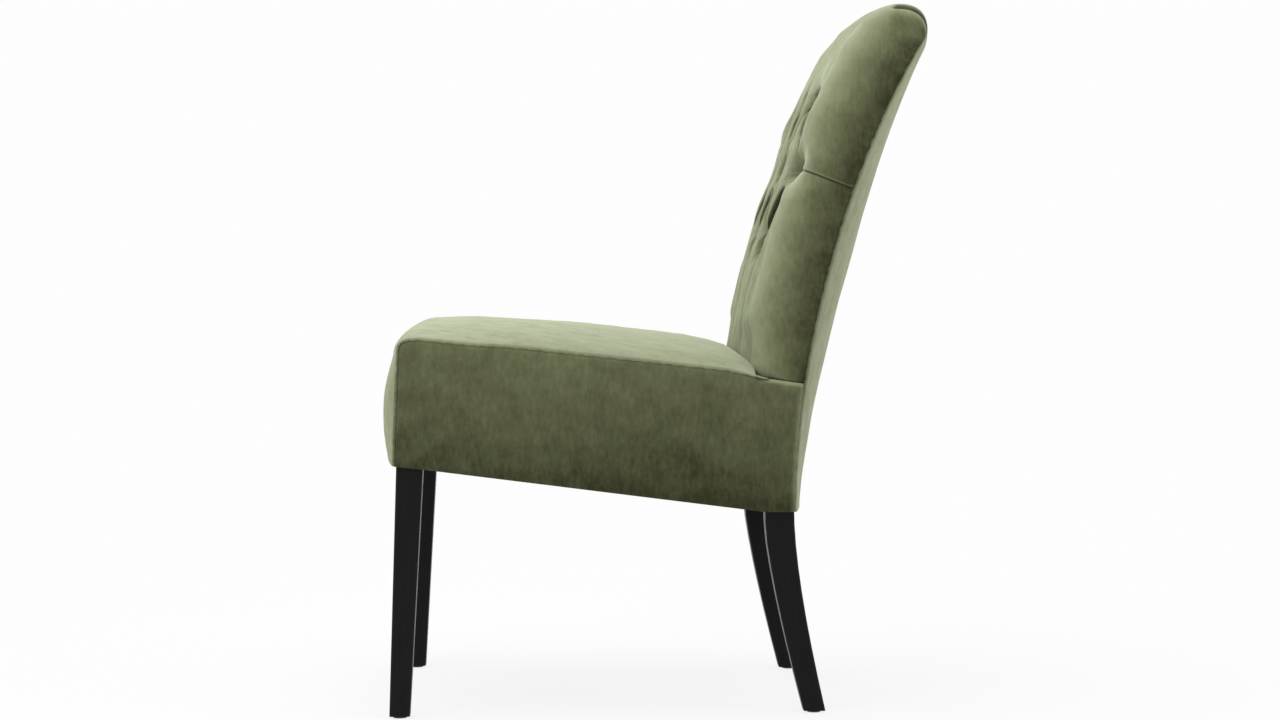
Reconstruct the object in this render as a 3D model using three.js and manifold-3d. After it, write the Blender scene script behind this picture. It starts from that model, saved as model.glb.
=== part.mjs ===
// Armless slipper chair with a deep-buttoned, curved back, in millimetres.
// +Z is up, the sitter faces -Y, and the sitter's left is +X.
// Inside this file Y starts at the foot of the seat's front seam; the finished group is then
// moved so that the origin is on the floor, under the middle of the chair's width and depth.

import * as THREE from "three";
import { mergeVertices } from "three/addons/utils/BufferGeometryUtils.js";
import Module from "manifold-3d";

const wasm = await Module();
wasm.setup();

// Seat: outer sizes over the cloth
const seatFrontWidth = 490;
const seatDepth = 523;
const undersideHeight = 328;
const seatFallHeight = 57;
const seatSideHeight = 168;
const seatFrontLeanDepth = 6;
const seatFrontBowFootDepth = 15;
const seatFrontBowTopDepth = 13;
const seatFrontBulgeDepth = 11.5;
const seatShoulderHeight = 32;
const seatShoulderDepth = 52;
const seatEdgeHeight = 18;
const seatEdgeDepth = 44;
const seatCrownFrontHeight = 23;
const seatCrownMiddleHeight = 39;
const seatCrownRearHeight = 28;
const seatSidePuffThickness = 4;
const seatHemDropHeight = 10;
const seatHemRearHeight = 6;
const tuckGap = 1;

// Back: the rear seam seen from the side, and the depths measured square to it
const backRiseHeight = 612;
const backRakeDepth = 169;
const backLowerHandleLength = 195;
const backUpperHandleLength = 200;
const backUpperAngle = (31.6 * Math.PI) / 180;
const backDepth = 88;
const backWidth = 430;
const backBowEndDepth = 18;
const backBowMiddleDepth = 23;
const backCrownDepth = 6;
const footDrawDepth = 11;
const footDrawHeight = 40;
const headDrawDepth = 7;
const headDrawHeight = 40;
const backRollRadius = 39.5;
const topCrownHeight = 25;
const topRiseHeight = 38;
const topReachDepth = 31;
const padTuckHeight = 13.5;
const padTopHeight = 22.4;

// Buttons and tufting
const buttonEdgeWidth = 53;
const buttonRowPitch = 98;
const topButtonDepth = 120;
const buttonRadius = 11;
const buttonDomeHeight = 7;
const buttonSinkDepth = 27;
const pleatMiddleDepth = 12;
const pleatEndDepth = 23;
const pleatSpreadWidth = 13;
const dimpleRadius = 17;
const sidePleatDepth = 13;
const sidePleatWidth = 9;
const foldDepth = 6;
const twineRadius = 1.4;
const twineHoleRadius = 2;
const toggleRadius = 6;
const toggleThickness = 3;

// Legs
const frontLegTopWidth = 34.5;
const frontLegFootWidth = 26.5;
const frontLegSetbackDepth = 4.6;
const frontLegInsetWidth = 8.5;
const frontLegRakeDepth = 14;
const frontLegStepDepth = 4;
const legEdgeWidth = 2.2;
const rearLegWidth = 36;
const rearLegDepth = 38;
const rearLegFootDepth = 28.5;
const rearLegFootWidth = 28;
const rearLegSweepDepth = 42;
const rearLegCurveLength = 180;
const postTopInsetHeight = 10;

// Frame timber
const railHeight = 85;
const railLiftHeight = 4;
const railThickness = 22;
const backRailHeight = 56;
const lowerRailHeight = 9;
const rearPaddingThickness = 8;
const tenonThickness = 10;
const tenonLength = 12;
const tenonShoulderHeight = 12;
const blockReachLength = 74;
const blockThickness = 30;
const boltShankRadius = 3.5;
const boltHeadRadius = 7;
const boltHeadHeight = 4.5;
const boltLength = 45;
const panelThickness = 5;
const panelTopInsetHeight = 18;
const padEaseGap = 0.9;
const backFoamThickness = 38;

// Cloth, webbing and small parts
const coverThickness = 2;
const dustCoverThickness = 1;
const webWidth = 50;
const webThickness = 1.5;
const webWaveHeight = 1.3;
const webEaseLength = 30;
const webLongCount = 3;
const webCrossCount = 4;
const webBearingShare = 0.7;
const webStepCount = 24;
const glideRadius = 10;
const glideHeight = 2.5;
const nailRadius = 1.5;
const nailLength = 12;
const gap = 0.3;
const overrunLength = 6;

// Finishes
const velvet = { color: 0x6f7457, roughness: 0.9, metalness: 0 };
const velvetDark = { color: 0x5b6048, roughness: 0.9, metalness: 0 };
const lacquer = { color: 0x1b1b1c, roughness: 0.35, metalness: 0 };
const beech = { color: 0xc9a877, roughness: 0.7, metalness: 0 };
const plywood = { color: 0xb9935f, roughness: 0.75, metalness: 0 };
const foam = { color: 0xe7dfbf, roughness: 0.95, metalness: 0 };
const jute = { color: 0x9a7d4f, roughness: 0.95, metalness: 0 };
const steel = { color: 0x8f9296, roughness: 0.4, metalness: 0.9 };
const nylon = { color: 0x222222, roughness: 0.5, metalness: 0 };
const feltCloth = { color: 0x1d1d1d, roughness: 1, metalness: 0 };

const sides = { left: 1, right: -1 };
const chair = new THREE.Group();

// Solids

function solidOf(geometry) {
  const bare = geometry.clone();
  bare.deleteAttribute("normal");
  bare.deleteAttribute("uv");
  const merged = mergeVertices(bare, 1e-4);
  const vertProperties = new Float32Array(merged.attributes.position.array);
  const triVerts = new Uint32Array(merged.index.array);
  return new wasm.Manifold(new wasm.Mesh({ numProp: 3, vertProperties, triVerts }));
}

function geometryOf(solid) {
  const mesh = solid.getMesh();
  const geometry = new THREE.BufferGeometry();
  geometry.setAttribute("position", new THREE.BufferAttribute(mesh.vertProperties, 3));
  geometry.setIndex(new THREE.BufferAttribute(mesh.triVerts, 1));
  geometry.computeVertexNormals();
  return geometry;
}

function addPart(name, shape, finish) {
  const geometry = shape.isBufferGeometry ? shape : geometryOf(shape);
  const mesh = new THREE.Mesh(geometry, new THREE.MeshStandardMaterial(finish));
  mesh.name = name;
  chair.add(mesh);
}

// Joins two rims of points, which run the same way, with a strip of triangles.
function stitch(triangles, rim, other) {
  let i = 0;
  let j = 0;
  while (i < rim.length - 1 || j < other.length - 1) {
    const rimNext = (i + 1) / (rim.length - 1);
    const otherNext = (j + 1) / (other.length - 1);
    if (j === other.length - 1 || (i < rim.length - 1 && rimNext <= otherNext)) {
      triangles.push(rim[i + 1], rim[i], other[j]);
      i += 1;
    } else {
      triangles.push(rim[i], other[j], other[j + 1]);
      j += 1;
    }
  }
}

// A closed body between two surfaces, each a function of u and v from 0 to 1.
// Every quad is split along the diagonal that lies nearer to its surface.
function between(front, back, [columns, rows], [backColumns, backRows] = [columns, rows]) {
  const points = [];
  const triangles = [];
  const lay = (surface, across, up, turned) => {
    const start = points.length;
    for (let j = 0; j <= up; j += 1)
      for (let i = 0; i <= across; i += 1) points.push(surface(i / across, j / up));
    const at = (i, j) => start + j * (across + 1) + i;
    for (let j = 0; j < up; j += 1)
      for (let i = 0; i < across; i += 1) {
        const [a, b, c, d] = [at(i, j), at(i + 1, j), at(i + 1, j + 1), at(i, j + 1)];
        const middle = surface((i + 0.5) / across, (j + 0.5) / up);
        const rising = points[a].clone().lerp(points[c], 0.5).distanceTo(middle);
        const falling = points[b].clone().lerp(points[d], 0.5).distanceTo(middle);
        const pair = rising <= falling ? [[a, b, c], [a, c, d]] : [[a, b, d], [b, c, d]];
        for (const [p, q, r] of pair) triangles.push(...(turned ? [p, r, q] : [p, q, r]));
      }
    const foot = Array.from({ length: across + 1 }, (_, i) => at(i, 0));
    const far = Array.from({ length: up + 1 }, (_, j) => at(across, j));
    const head = Array.from({ length: across + 1 }, (_, i) => at(across - i, up));
    const near = Array.from({ length: up + 1 }, (_, j) => at(0, up - j));
    return [foot, far, head, near];
  };
  const rims = lay(front, columns, rows, false);
  const others = lay(back, backColumns, backRows, true);
  rims.forEach((rim, k) => stitch(triangles, rim, others[k]));
  return closedBody(points, triangles);
}

// A closed body through rings of equally many points, with flat ends.
function loft(rings) {
  const count = rings[0].length;
  const points = rings.flat();
  const triangles = [];
  for (let k = 0; k < rings.length - 1; k += 1)
    for (let i = 0; i < count; i += 1) {
      const next = (i + 1) % count;
      const [a, b] = [k * count + i, k * count + next];
      const [c, d] = [b + count, a + count];
      triangles.push(a, b, c, a, c, d);
    }
  const last = (rings.length - 1) * count;
  for (let i = 1; i < count - 1; i += 1) {
    triangles.push(0, i + 1, i);
    triangles.push(last, last + i, last + i + 1);
  }
  return closedBody(points, triangles);
}

// Turns the faces outwards, whichever way the points were laid.
function closedBody(points, triangles) {
  let volume = 0;
  const cross = new THREE.Vector3();
  for (let i = 0; i < triangles.length; i += 3) {
    const [a, b, c] = [0, 1, 2].map((k) => points[triangles[i + k]]);
    volume += a.dot(cross.crossVectors(b, c));
  }
  const order = volume < 0 ? [...triangles].reverse() : triangles;
  const geometry = new THREE.BufferGeometry().setFromPoints(points);
  geometry.setIndex(order);
  geometry.computeVertexNormals();
  return geometry;
}

// A box given by its middle, three directions and full sizes.
function placedBox(middle, directions, sizes) {
  const geometry = new THREE.BoxGeometry(...sizes);
  const place = new THREE.Matrix4().makeBasis(...directions).setPosition(middle);
  return solidOf(geometry.applyMatrix4(place));
}

// A turned shape whose axis starts at a point and runs along a direction.
function turned(profile, segments, start, direction) {
  const geometry = new THREE.LatheGeometry(profile.map(([r, h]) => new THREE.Vector2(r, h)), segments);
  const turn = new THREE.Quaternion().setFromUnitVectors(new THREE.Vector3(0, 1, 0), direction);
  const place = new THREE.Matrix4().makeRotationFromQuaternion(turn).setPosition(start);
  return solidOf(geometry.applyMatrix4(place));
}

function rod(radius, length, segments, start, direction) {
  const profile = [[0, 0], [radius, 0], [radius, length], [0, length]];
  return turned(profile, segments, start, direction);
}

// Seat: heights are measured from the sloping underside, so the whole seat is sheared downhill

const fallPerDepth = seatFallHeight / seatDepth;
const undersideAt = (y) => undersideHeight - fallPerDepth * y;
const seatPoint = (x, y, height) => new THREE.Vector3(x, y, undersideAt(y) + height);
const halfWidthAt = (y) => THREE.MathUtils.lerp(seatFrontWidth, backWidth, y / seatDepth) / 2;
const crownWeight = (share) => 1 - Math.abs(share) ** 2.2;

// Everything under the sloping plane at a height over the underside, to trim against.
function belowSeatPlane(height) {
  const face = (drop) => (u, v) => {
    const y = v * (seatDepth + backRakeDepth);
    return seatPoint((2 * u - 1) * seatFrontWidth, y, height - drop);
  };
  return solidOf(between(face(0), face(undersideHeight), [1, 1]));
}

// Back: a point at a height along the rear seam, across the chair, and a depth forward of the seam

const seamFoot = new THREE.Vector2(seatDepth, undersideHeight - seatFallHeight);
const seamHead = seamFoot.clone().add(new THREE.Vector2(backRakeDepth, backRiseHeight));
const seam = new THREE.CubicBezierCurve(
  seamFoot,
  seamFoot.clone().add(new THREE.Vector2(0, backLowerHandleLength)),
  seamHead.clone().sub(
    new THREE.Vector2(Math.sin(backUpperAngle), Math.cos(backUpperAngle)).multiplyScalar(backUpperHandleLength),
  ),
  seamHead,
);
const seamLength = seam.getLength();
const buttonRowHeight = seamLength - topButtonDepth - buttonRowPitch;

function seamFrame(height) {
  const share = THREE.MathUtils.clamp(height / seamLength, 0, 1);
  const along = seam.getTangentAt(share);
  const point = seam.getPointAt(share).addScaledVector(along, height - share * seamLength);
  return {
    point: new THREE.Vector3(0, point.x, point.y),
    up: new THREE.Vector3(0, along.x, along.y),
    forward: new THREE.Vector3(0, -along.y, along.x),
  };
}

function backPoint(x, height, depth) {
  const { point, forward } = seamFrame(height);
  return point.addScaledVector(forward, depth).setX(x);
}

const backHalfWidth = backWidth / 2;
const acrossBack = (x) => 1 - (x / backHalfWidth) ** 2;
const bowAt = (height) =>
  backBowEndDepth + backBowMiddleDepth * Math.sin(Math.PI * THREE.MathUtils.clamp(height / seamLength, 0, 1));
const rearFace = (x, height) => -bowAt(height) * acrossBack(x);
const railRear = (x, height) => rearFace(x, height) + rearPaddingThickness;
const railFront = (x, height) => railRear(x, height) + railThickness;
const panelFront = (x, height) => railFront(x, height) + gap + panelThickness;
const foamFront = (x, height) => panelFront(x, height) + gap + backFoamThickness;

// Rear legs and back posts, each one sawn piece

const postRear = coverThickness + gap + gap;
const postFront = postRear + rearLegDepth;
const postOuter = backHalfWidth - seatSidePuffThickness - coverThickness - gap;
const postMiddle = postOuter - rearLegWidth / 2;
const postInner = postOuter - rearLegWidth;
const postTop = seamLength - postTopInsetHeight;
const rearLegStationCount = 8;
const postStationCount = 12;

function chamferedRing(middle, across, along, width, depth, edge) {
  const [w, d] = [width / 2, depth / 2];
  const corners = [
    [w - edge, -d], [w, -d + edge], [w, d - edge], [w - edge, d],
    [-w + edge, d], [-w, d - edge], [-w, -d + edge], [-w + edge, -d],
  ];
  return corners.map(([a, b]) => middle.clone().addScaledVector(across, a).addScaledVector(along, b));
}

function rearLegPost(side, grow) {
  const kneeFrame = seamFrame(0);
  const knee = backPoint(0, 0, postRear);
  const foot = new THREE.Vector3(0, knee.y + rearLegSweepDepth, glideHeight + gap - grow);
  const bend = new THREE.Vector3(0, knee.y, foot.z + rearLegCurveLength);
  const sweep = new THREE.QuadraticBezierCurve3(foot, bend, knee);
  const across = new THREE.Vector3(1, 0, 0);
  const rings = [];
  for (let k = 0; k < rearLegStationCount; k += 1) {
    const share = k / rearLegStationCount;
    const thick = THREE.MathUtils.lerp(rearLegFootDepth, rearLegDepth, Math.min(1, share * 1.25));
    const wide = THREE.MathUtils.lerp(rearLegFootWidth, rearLegWidth, share);
    const ease = Math.sin((Math.PI / 2) * share);
    const forward = new THREE.Vector3(0, -1, 0).lerp(kneeFrame.forward, ease).normalize();
    const middle = sweep.getPoint(share).addScaledVector(forward, thick / 2);
    rings.push(chamferedRing(middle, across, forward, wide + 2 * grow, thick + 2 * grow, legEdgeWidth));
  }
  for (let k = 0; k <= postStationCount; k += 1) {
    const frame = seamFrame((postTop * k) / postStationCount);
    const middle = frame.point.addScaledVector(frame.forward, (postRear + postFront) / 2);
    if (k === postStationCount) middle.addScaledVector(frame.up, grow);
    const [wide, thick] = [rearLegWidth + 2 * grow, rearLegDepth + 2 * grow];
    rings.push(chamferedRing(middle, across, frame.forward, wide, thick, legEdgeWidth));
  }
  const geometry = loft(rings).translate(side * postMiddle, 0, 0);
  return solidOf(geometry);
}

// Front legs, which run up inside the seat as its front corner posts

const frontLegOuter = seatFrontWidth / 2 - frontLegInsetWidth;
const frontLegMiddle = frontLegOuter - frontLegTopWidth / 2;
const frontLegFront = frontLegSetbackDepth + frontLegStepDepth;
const railTop = railLiftHeight + railHeight;

function frontLeg(side, grow) {
  const footY = frontLegSetbackDepth + frontLegTopWidth / 2 - frontLegRakeDepth;
  const kneeY = frontLegSetbackDepth + frontLegTopWidth / 2;
  const headY = frontLegFront + frontLegTopWidth / 2;
  const stations = [
    [footY, glideHeight + gap - grow, frontLegFootWidth],
    [kneeY, undersideAt(kneeY), frontLegTopWidth],
    [headY, undersideAt(headY) + railTop + grow, frontLegTopWidth],
  ];
  const across = new THREE.Vector3(1, 0, 0);
  const along = new THREE.Vector3(0, -1, 0);
  const rings = stations.map(([y, z, size]) =>
    chamferedRing(new THREE.Vector3(0, y, z), across, along, size + 2 * grow, size + 2 * grow, legEdgeWidth),
  );
  return solidOf(loft(rings).translate(side * frontLegMiddle, 0, 0));
}

// Seat rails

const sideRailOuter = (y) => THREE.MathUtils.mapLinear(y, headLine(), kneeLine(), frontLegOuter, postOuter);
const headLine = () => frontLegFront + frontLegTopWidth;
const kneeLine = () => backPoint(0, railTop, postFront).y;
const sideRailHead = () => headLine() - frontLegStepDepth;
const frameSide = (y) => sideRailOuter(THREE.MathUtils.clamp(y, sideRailHead(), kneeLine()));

// One end of a board at a time is set by a function of height, so its shoulders can be slanted.
function sideRailBlank(side, from, to, thickness, height, lift) {
  const inset = (railThickness - thickness) / 2;
  const face = (offset) => (u, v) => {
    const y = THREE.MathUtils.lerp(from, to, u);
    return seatPoint(side * (sideRailOuter(y) - offset), y, lift + v * height);
  };
  return solidOf(between(face(inset), face(inset + thickness), [1, 1]));
}

function frontRailBlank(reach, thickness, height, lift) {
  const middle = frontLegFront + railThickness / 2;
  const face = (offset) => (u, v) => seatPoint((2 * u - 1) * reach, middle + offset, lift + v * height);
  return solidOf(between(face(-thickness / 2), face(thickness / 2), [1, 1]));
}

// A bowed rail between the posts, at a height along the rear seam.
function backRailBlank(low, height, grow) {
  const reach = postInner - gap + grow;
  const face = (depth) => (u, v) => {
    const x = (2 * u - 1) * reach;
    const level = low - grow + v * (height + 2 * grow);
    return backPoint(x, level, depth(x, level));
  };
  const front = face((x, level) => railFront(x, level) + grow);
  const rear = face((x, level) => railRear(x, level) - grow);
  return solidOf(between(front, rear, [12, 2]));
}

function backRailTenon(side, low, height, grow) {
  const level = low + height / 2;
  const frame = seamFrame(level);
  const depth = (railRear(postInner, level) + railFront(postInner, level)) / 2;
  const long = 2 * tenonLength + 2 * grow;
  const middle = frame.point
    .addScaledVector(frame.forward, depth)
    .setX(side * postInner);
  const sizes = [long, tenonThickness + 2 * grow, height - 2 * tenonShoulderHeight + 2 * grow];
  return placedBox(middle, [new THREE.Vector3(1, 0, 0), frame.forward.clone().negate(), frame.up], sizes);
}

const lowerRailLift = () => seatSideHeight + lowerRailHeight;
const backRails = {
  rear_rail: [railLiftHeight, railHeight],
  lower_back_rail: [lowerRailLift(), backRailHeight],
  lumbar_rail: [buttonRowHeight - (buttonRowPitch + backRailHeight) / 2, backRailHeight],
  crest_rail: [postTop - backRailHeight, backRailHeight],
};

// A corner block seen from above: its square corner, and its ends along the rail and the side rail.
function blockCorners(atFront) {
  const railFace = atFront ? frontLegFront + railThickness + gap : kneeLine() + railThickness;
  const away = atFront ? 1 : -1;
  const sideFace = (y) => sideRailOuter(y) - railThickness - gap;
  const reachY = railFace + away * blockReachLength;
  const corner = new THREE.Vector2(sideFace(railFace), railFace);
  const alongRail = new THREE.Vector2(corner.x - blockReachLength, railFace);
  const alongSide = new THREE.Vector2(sideFace(reachY), reachY);
  return { corner, alongRail, alongSide };
}

function cornerBlank(side, atFront) {
  const { corner, alongRail, alongSide } = blockCorners(atFront);
  const outline = new THREE.Shape([corner, alongSide, alongRail]);
  const geometry = new THREE.ExtrudeGeometry(outline, { depth: blockThickness, bevelEnabled: false });
  const low = railLiftHeight + (railHeight - blockThickness) / 2;
  const position = geometry.attributes.position;
  for (let i = 0; i < position.count; i += 1)
    position.setZ(i, position.getZ(i) + low + undersideAt(position.getY(i)));
  const solid = solidOf(geometry);
  return side > 0 ? solid : solid.mirror([1, 0, 0]);
}

// The bolt runs square to the block's long face, through its middle and on into the leg.
function boltLine(side, atFront) {
  const { corner, alongRail, alongSide } = blockCorners(atFront);
  const middle = alongRail.clone().lerp(alongSide, 0.5);
  const face = alongSide.clone().sub(alongRail);
  const square = new THREE.Vector2(face.y, -face.x).normalize();
  if (square.dot(corner.clone().sub(middle)) < 0) square.negate();
  const start = seatPoint(side * middle.x, middle.y, railLiftHeight + railHeight / 2);
  return { start, direction: new THREE.Vector3(side * square.x, square.y, 0) };
}

const legs = {};
const cutters = {};
for (const [name, side] of Object.entries(sides)) {
  legs[`front_leg_${name}`] = frontLeg(side, 0);
  legs[`rear_leg_post_${name}`] = rearLegPost(side, 0);
  cutters[`front_${name}`] = frontLeg(side, gap);
  cutters[`rear_${name}`] = rearLegPost(side, gap);
}

// Side rails: shoulders cut to the leg and post, tenons sunk into them

for (const [name, side] of Object.entries(sides)) {
  const front = sideRailHead();
  const rear = kneeLine() + legEdgeWidth;
  const tenonFront = headLine() - tenonLength;
  const tenonRear = kneeLine() + tenonLength;
  const tall = railHeight - 2 * tenonShoulderHeight;
  const low = railLiftHeight + tenonShoulderHeight;
  const tenon = (grow) => {
    const [thickness, height] = [tenonThickness + 2 * grow, tall + 2 * grow];
    return sideRailBlank(side, tenonFront - grow, tenonRear + grow, thickness, height, low - grow);
  };
  const board = sideRailBlank(side, front, rear, railThickness, railHeight, railLiftHeight)
    .subtract(cutters[`front_${name}`])
    .subtract(cutters[`rear_${name}`]);
  addPart(`side_rail_${name}`, board.add(tenon(0)), beech);
  legs[`front_leg_${name}`] = legs[`front_leg_${name}`].subtract(tenon(gap));
  legs[`rear_leg_post_${name}`] = legs[`rear_leg_post_${name}`].subtract(tenon(gap));
}

// Front rail, tenoned into both front legs

{
  const reach = frontLegMiddle;
  const tenonReach = frontLegMiddle - frontLegTopWidth / 2 + tenonLength;
  const tall = railHeight - 2 * tenonShoulderHeight;
  const low = railLiftHeight + tenonShoulderHeight;
  const tenon = (grow) => {
    const [thickness, height] = [tenonThickness + 2 * grow, tall + 2 * grow];
    return frontRailBlank(tenonReach + grow, thickness, height, low - grow);
  };
  const board = frontRailBlank(reach, railThickness, railHeight, railLiftHeight)
    .subtract(cutters.front_left)
    .subtract(cutters.front_right);
  addPart("front_rail", board.add(tenon(0)), beech);
  for (const name of Object.keys(sides))
    legs[`front_leg_${name}`] = legs[`front_leg_${name}`].subtract(tenon(gap));
}

// Rear rail of the seat and the three rails of the back

for (const [rail, [low, height]] of Object.entries(backRails)) {
  let board = backRailBlank(low, height, 0);
  for (const [name, side] of Object.entries(sides)) {
    board = board.add(backRailTenon(side, low, height, 0));
    legs[`rear_leg_post_${name}`] = legs[`rear_leg_post_${name}`].subtract(
      backRailTenon(side, low, height, gap),
    );
  }
  addPart(rail, rail === "rear_rail" ? board.subtract(belowSeatPlane(railLiftHeight)) : board, beech);
}

// Corner blocks, bolted to the legs

const rearRailCutter = backRailBlank(...backRails.rear_rail, gap);
for (const [name, side] of Object.entries(sides))
  for (const end of ["front", "rear"]) {
    const atFront = end === "front";
    const { start, direction } = boltLine(side, atFront);
    const legName = atFront ? `front_leg_${name}` : `rear_leg_post_${name}`;
    const holeStart = start.clone().addScaledVector(direction, -overrunLength);
    const hole = rod(boltShankRadius + gap, boltLength + overrunLength + gap, 12, holeStart, direction);
    let block = cornerBlank(side, atFront).subtract(cutters[`${end}_${name}`]);
    if (!atFront) block = block.subtract(rearRailCutter);
    addPart(`corner_block_${end}_${name}`, block.subtract(hole), beech);
    legs[legName] = legs[legName].subtract(hole);
    const bolt = [
      [0, -boltHeadHeight - gap],
      [boltHeadRadius, -boltHeadHeight - gap],
      [boltHeadRadius, -gap],
      [boltShankRadius, -gap],
      [boltShankRadius, boltLength - boltShankRadius],
      [0, boltLength],
    ];
    addPart(`corner_bolt_${end}_${name}`, turned(bolt, 12, start, direction), steel);
  }

// Foot glides, nailed into the ends of the legs

for (const [name, side] of Object.entries(sides)) {
  const knee = backPoint(0, 0, postRear);
  const feet = {
    front: [`front_leg_${name}`, frontLegMiddle, frontLegSetbackDepth + frontLegTopWidth / 2 - frontLegRakeDepth],
    rear: [`rear_leg_post_${name}`, postMiddle, knee.y + rearLegSweepDepth - rearLegFootDepth / 2],
  };
  for (const [end, [leg, x, y]] of Object.entries(feet)) {
    const start = new THREE.Vector3(side * x, y, 0);
    const up = new THREE.Vector3(0, 0, 1);
    const glide = [
      [0, 0],
      [glideRadius - glideHeight / 2, 0],
      [glideRadius, glideHeight / 2],
      [glideRadius, glideHeight],
      [nailRadius, glideHeight],
      [nailRadius, nailLength - nailRadius],
      [0, nailLength],
    ];
    addPart(`foot_glide_${end}_${name}`, turned(glide, 16, start, up), nylon);
    legs[leg] = legs[leg].subtract(rod(nailRadius + gap, nailLength + gap, 8, start, up));
  }
}
for (const [name, solid] of Object.entries(legs)) addPart(name, solid, lacquer);

// Jute webbing, woven over and under across the seat frame

const webFloor = railTop + gap;
const webMiddle = webFloor + webWaveHeight;
const webTop = webMiddle + webWaveHeight + webThickness;
const webFront = frontLegFront + gap;
const webRear = (x) => backPoint(x, railTop, railFront(x, railTop) - railThickness * webBearingShare).y;
const crossFirst = headLine() + webWidth;
const crossPitch = (kneeLine() - webWidth - crossFirst) / (webCrossCount - 1);
const longPitch = (2 * postInner - webWidth) / webLongCount;

// Height of a strap's underside: it waves, and eases down on to the rail at both ends.
function webRise(along, from, to, first, pitch, phase) {
  const ease = THREE.MathUtils.smoothstep(Math.min(along - from, to - along), 0, webEaseLength);
  const wave = webWaveHeight * Math.cos((Math.PI * (along - first)) / pitch) * phase;
  return webMiddle - webWaveHeight * (1 - ease) + wave * ease;
}

for (let k = 0; k < webLongCount; k += 1) {
  const x = (k - (webLongCount - 1) / 2) * longPitch;
  const phase = k % 2 ? -1 : 1;
  const rear = webRear(Math.abs(x) + webWidth / 2);
  const face = (lift) => (u, v) => {
    const y = THREE.MathUtils.lerp(webFront, rear, v);
    const rise = webRise(y, webFront, rear, crossFirst, crossPitch, phase);
    const point = seatPoint(x + (u - 0.5) * webWidth, y, rise);
    const bearing = backPoint(0, railTop, 0).z + gap;
    return point.setZ(Math.max(point.z, bearing) + lift);
  };
  addPart(`webbing_long_${k + 1}`, between(face(webThickness), face(0), [1, webStepCount]), jute);
}
for (let k = 0; k < webCrossCount; k += 1) {
  const y = crossFirst + k * crossPitch;
  const reach = Math.min(sideRailOuter(y - webWidth / 2), sideRailOuter(y + webWidth / 2)) - gap;
  const phase = k % 2 ? 1 : -1;
  const face = (lift) => (u, v) => {
    const x = (2 * u - 1) * reach;
    const first = -((webLongCount - 1) / 2) * longPitch;
    const rise = webRise(x, -reach, reach, first, longPitch, phase);
    return seatPoint(x, y + (v - 0.5) * webWidth, rise + lift);
  };
  addPart(`webbing_cross_${k + 1}`, between(face(webThickness), face(0), [webStepCount, 1]), jute);
}

// Tufting: how far the cloth is drawn in at a place on the inside of the back

const buttonPitch = (backWidth - 2 * buttonEdgeWidth) / 3;
const tuftRows = [
  { height: buttonRowHeight - buttonRowPitch, count: 3 },
  { height: buttonRowHeight, count: 4 },
  { height: buttonRowHeight + buttonRowPitch, count: 3 },
];
const buttons = tuftRows.flatMap(({ height, count }) =>
  Array.from({ length: count }, (_, k) => ({ x: (k - (count - 1) / 2) * buttonPitch, height })),
);
const pleats = buttons.flatMap((a) =>
  buttons
    .filter((b) => b.height > a.height && b.height - a.height < buttonRowPitch * 1.5)
    .filter((b) => Math.abs(b.x - a.x) < buttonPitch)
    .map((b) => [a, b]),
);
const lowestRow = tuftRows[0].height;
const highestRow = tuftRows[2].height;

function drawnIn(x, height) {
  let sink = 0;
  for (const button of buttons) {
    const reach = Math.hypot(x - button.x, height - button.height) / dimpleRadius;
    sink = Math.max(sink, buttonSinkDepth * Math.exp(-(reach ** 2)));
  }
  for (const [a, b] of pleats) {
    const [dx, dh] = [b.x - a.x, b.height - a.height];
    const share = THREE.MathUtils.clamp(
      ((x - a.x) * dx + (height - a.height) * dh) / (dx * dx + dh * dh), 0, 1);
    const off = Math.hypot(x - a.x - share * dx, height - a.height - share * dh);
    const deep = pleatMiddleDepth + (pleatEndDepth - pleatMiddleDepth) * (2 * share - 1) ** 2;
    sink = Math.max(sink, deep * Math.exp(-off / pleatSpreadWidth));
  }
  // Soft folds run on from the outer rows to the top edge and down to the seat.
  for (const button of buttons.filter((b) => b.height !== buttonRowHeight)) {
    const past = button.height === lowestRow ? lowestRow - height : height - highestRow;
    if (past > 0) {
      const fade = foldDepth + (buttonSinkDepth - foldDepth) * Math.exp(-past / dimpleRadius);
      sink = Math.max(sink, fade * Math.exp(-Math.abs(x - button.x) / pleatSpreadWidth));
    }
  }
  // One pleat runs from each outermost button round the side to the rear seam.
  const outermost = 1.5 * buttonPitch;
  if (Math.abs(x) > outermost)
    sink = Math.max(sink, sidePleatDepth * Math.exp(-Math.abs(height - buttonRowHeight) / sidePleatWidth));
  return sink;
}

// Inside back pad: cloth and soft filling in one, wrapped round the posts and over the crest

const padRowShares = [0, 0.5, 0.86];
const padTuftShares = [0, 0.125, 0.25, 0.375, 0.5, 0.625, 0.75, 0.875, 1];
const padTopShares = [0.25, 0.62, 1];
const padNoseRowCount = 4;
const padFrontColumnCount = 26;
const padCornerColumnCount = 3;
const padFlapColumnCount = 1;
const padFoot = seatSideHeight - padTuckHeight;
const padHead = seamLength - padTopHeight;
const padRowHeights = [
  ...padRowShares.map((share) => THREE.MathUtils.lerp(padFoot, lowestRow, share)),
  ...padTuftShares.map((share) => THREE.MathUtils.lerp(lowestRow, highestRow, share)),
  ...padTopShares.map((share) => THREE.MathUtils.lerp(highestRow, padHead, share)),
];
const padRowCount = padRowHeights.length - 1;

function padRowHeight(row) {
  const below = Math.min(Math.floor(row), padRowCount - 1);
  return THREE.MathUtils.lerp(padRowHeights[below], padRowHeights[below + 1], row - below);
}

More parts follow.
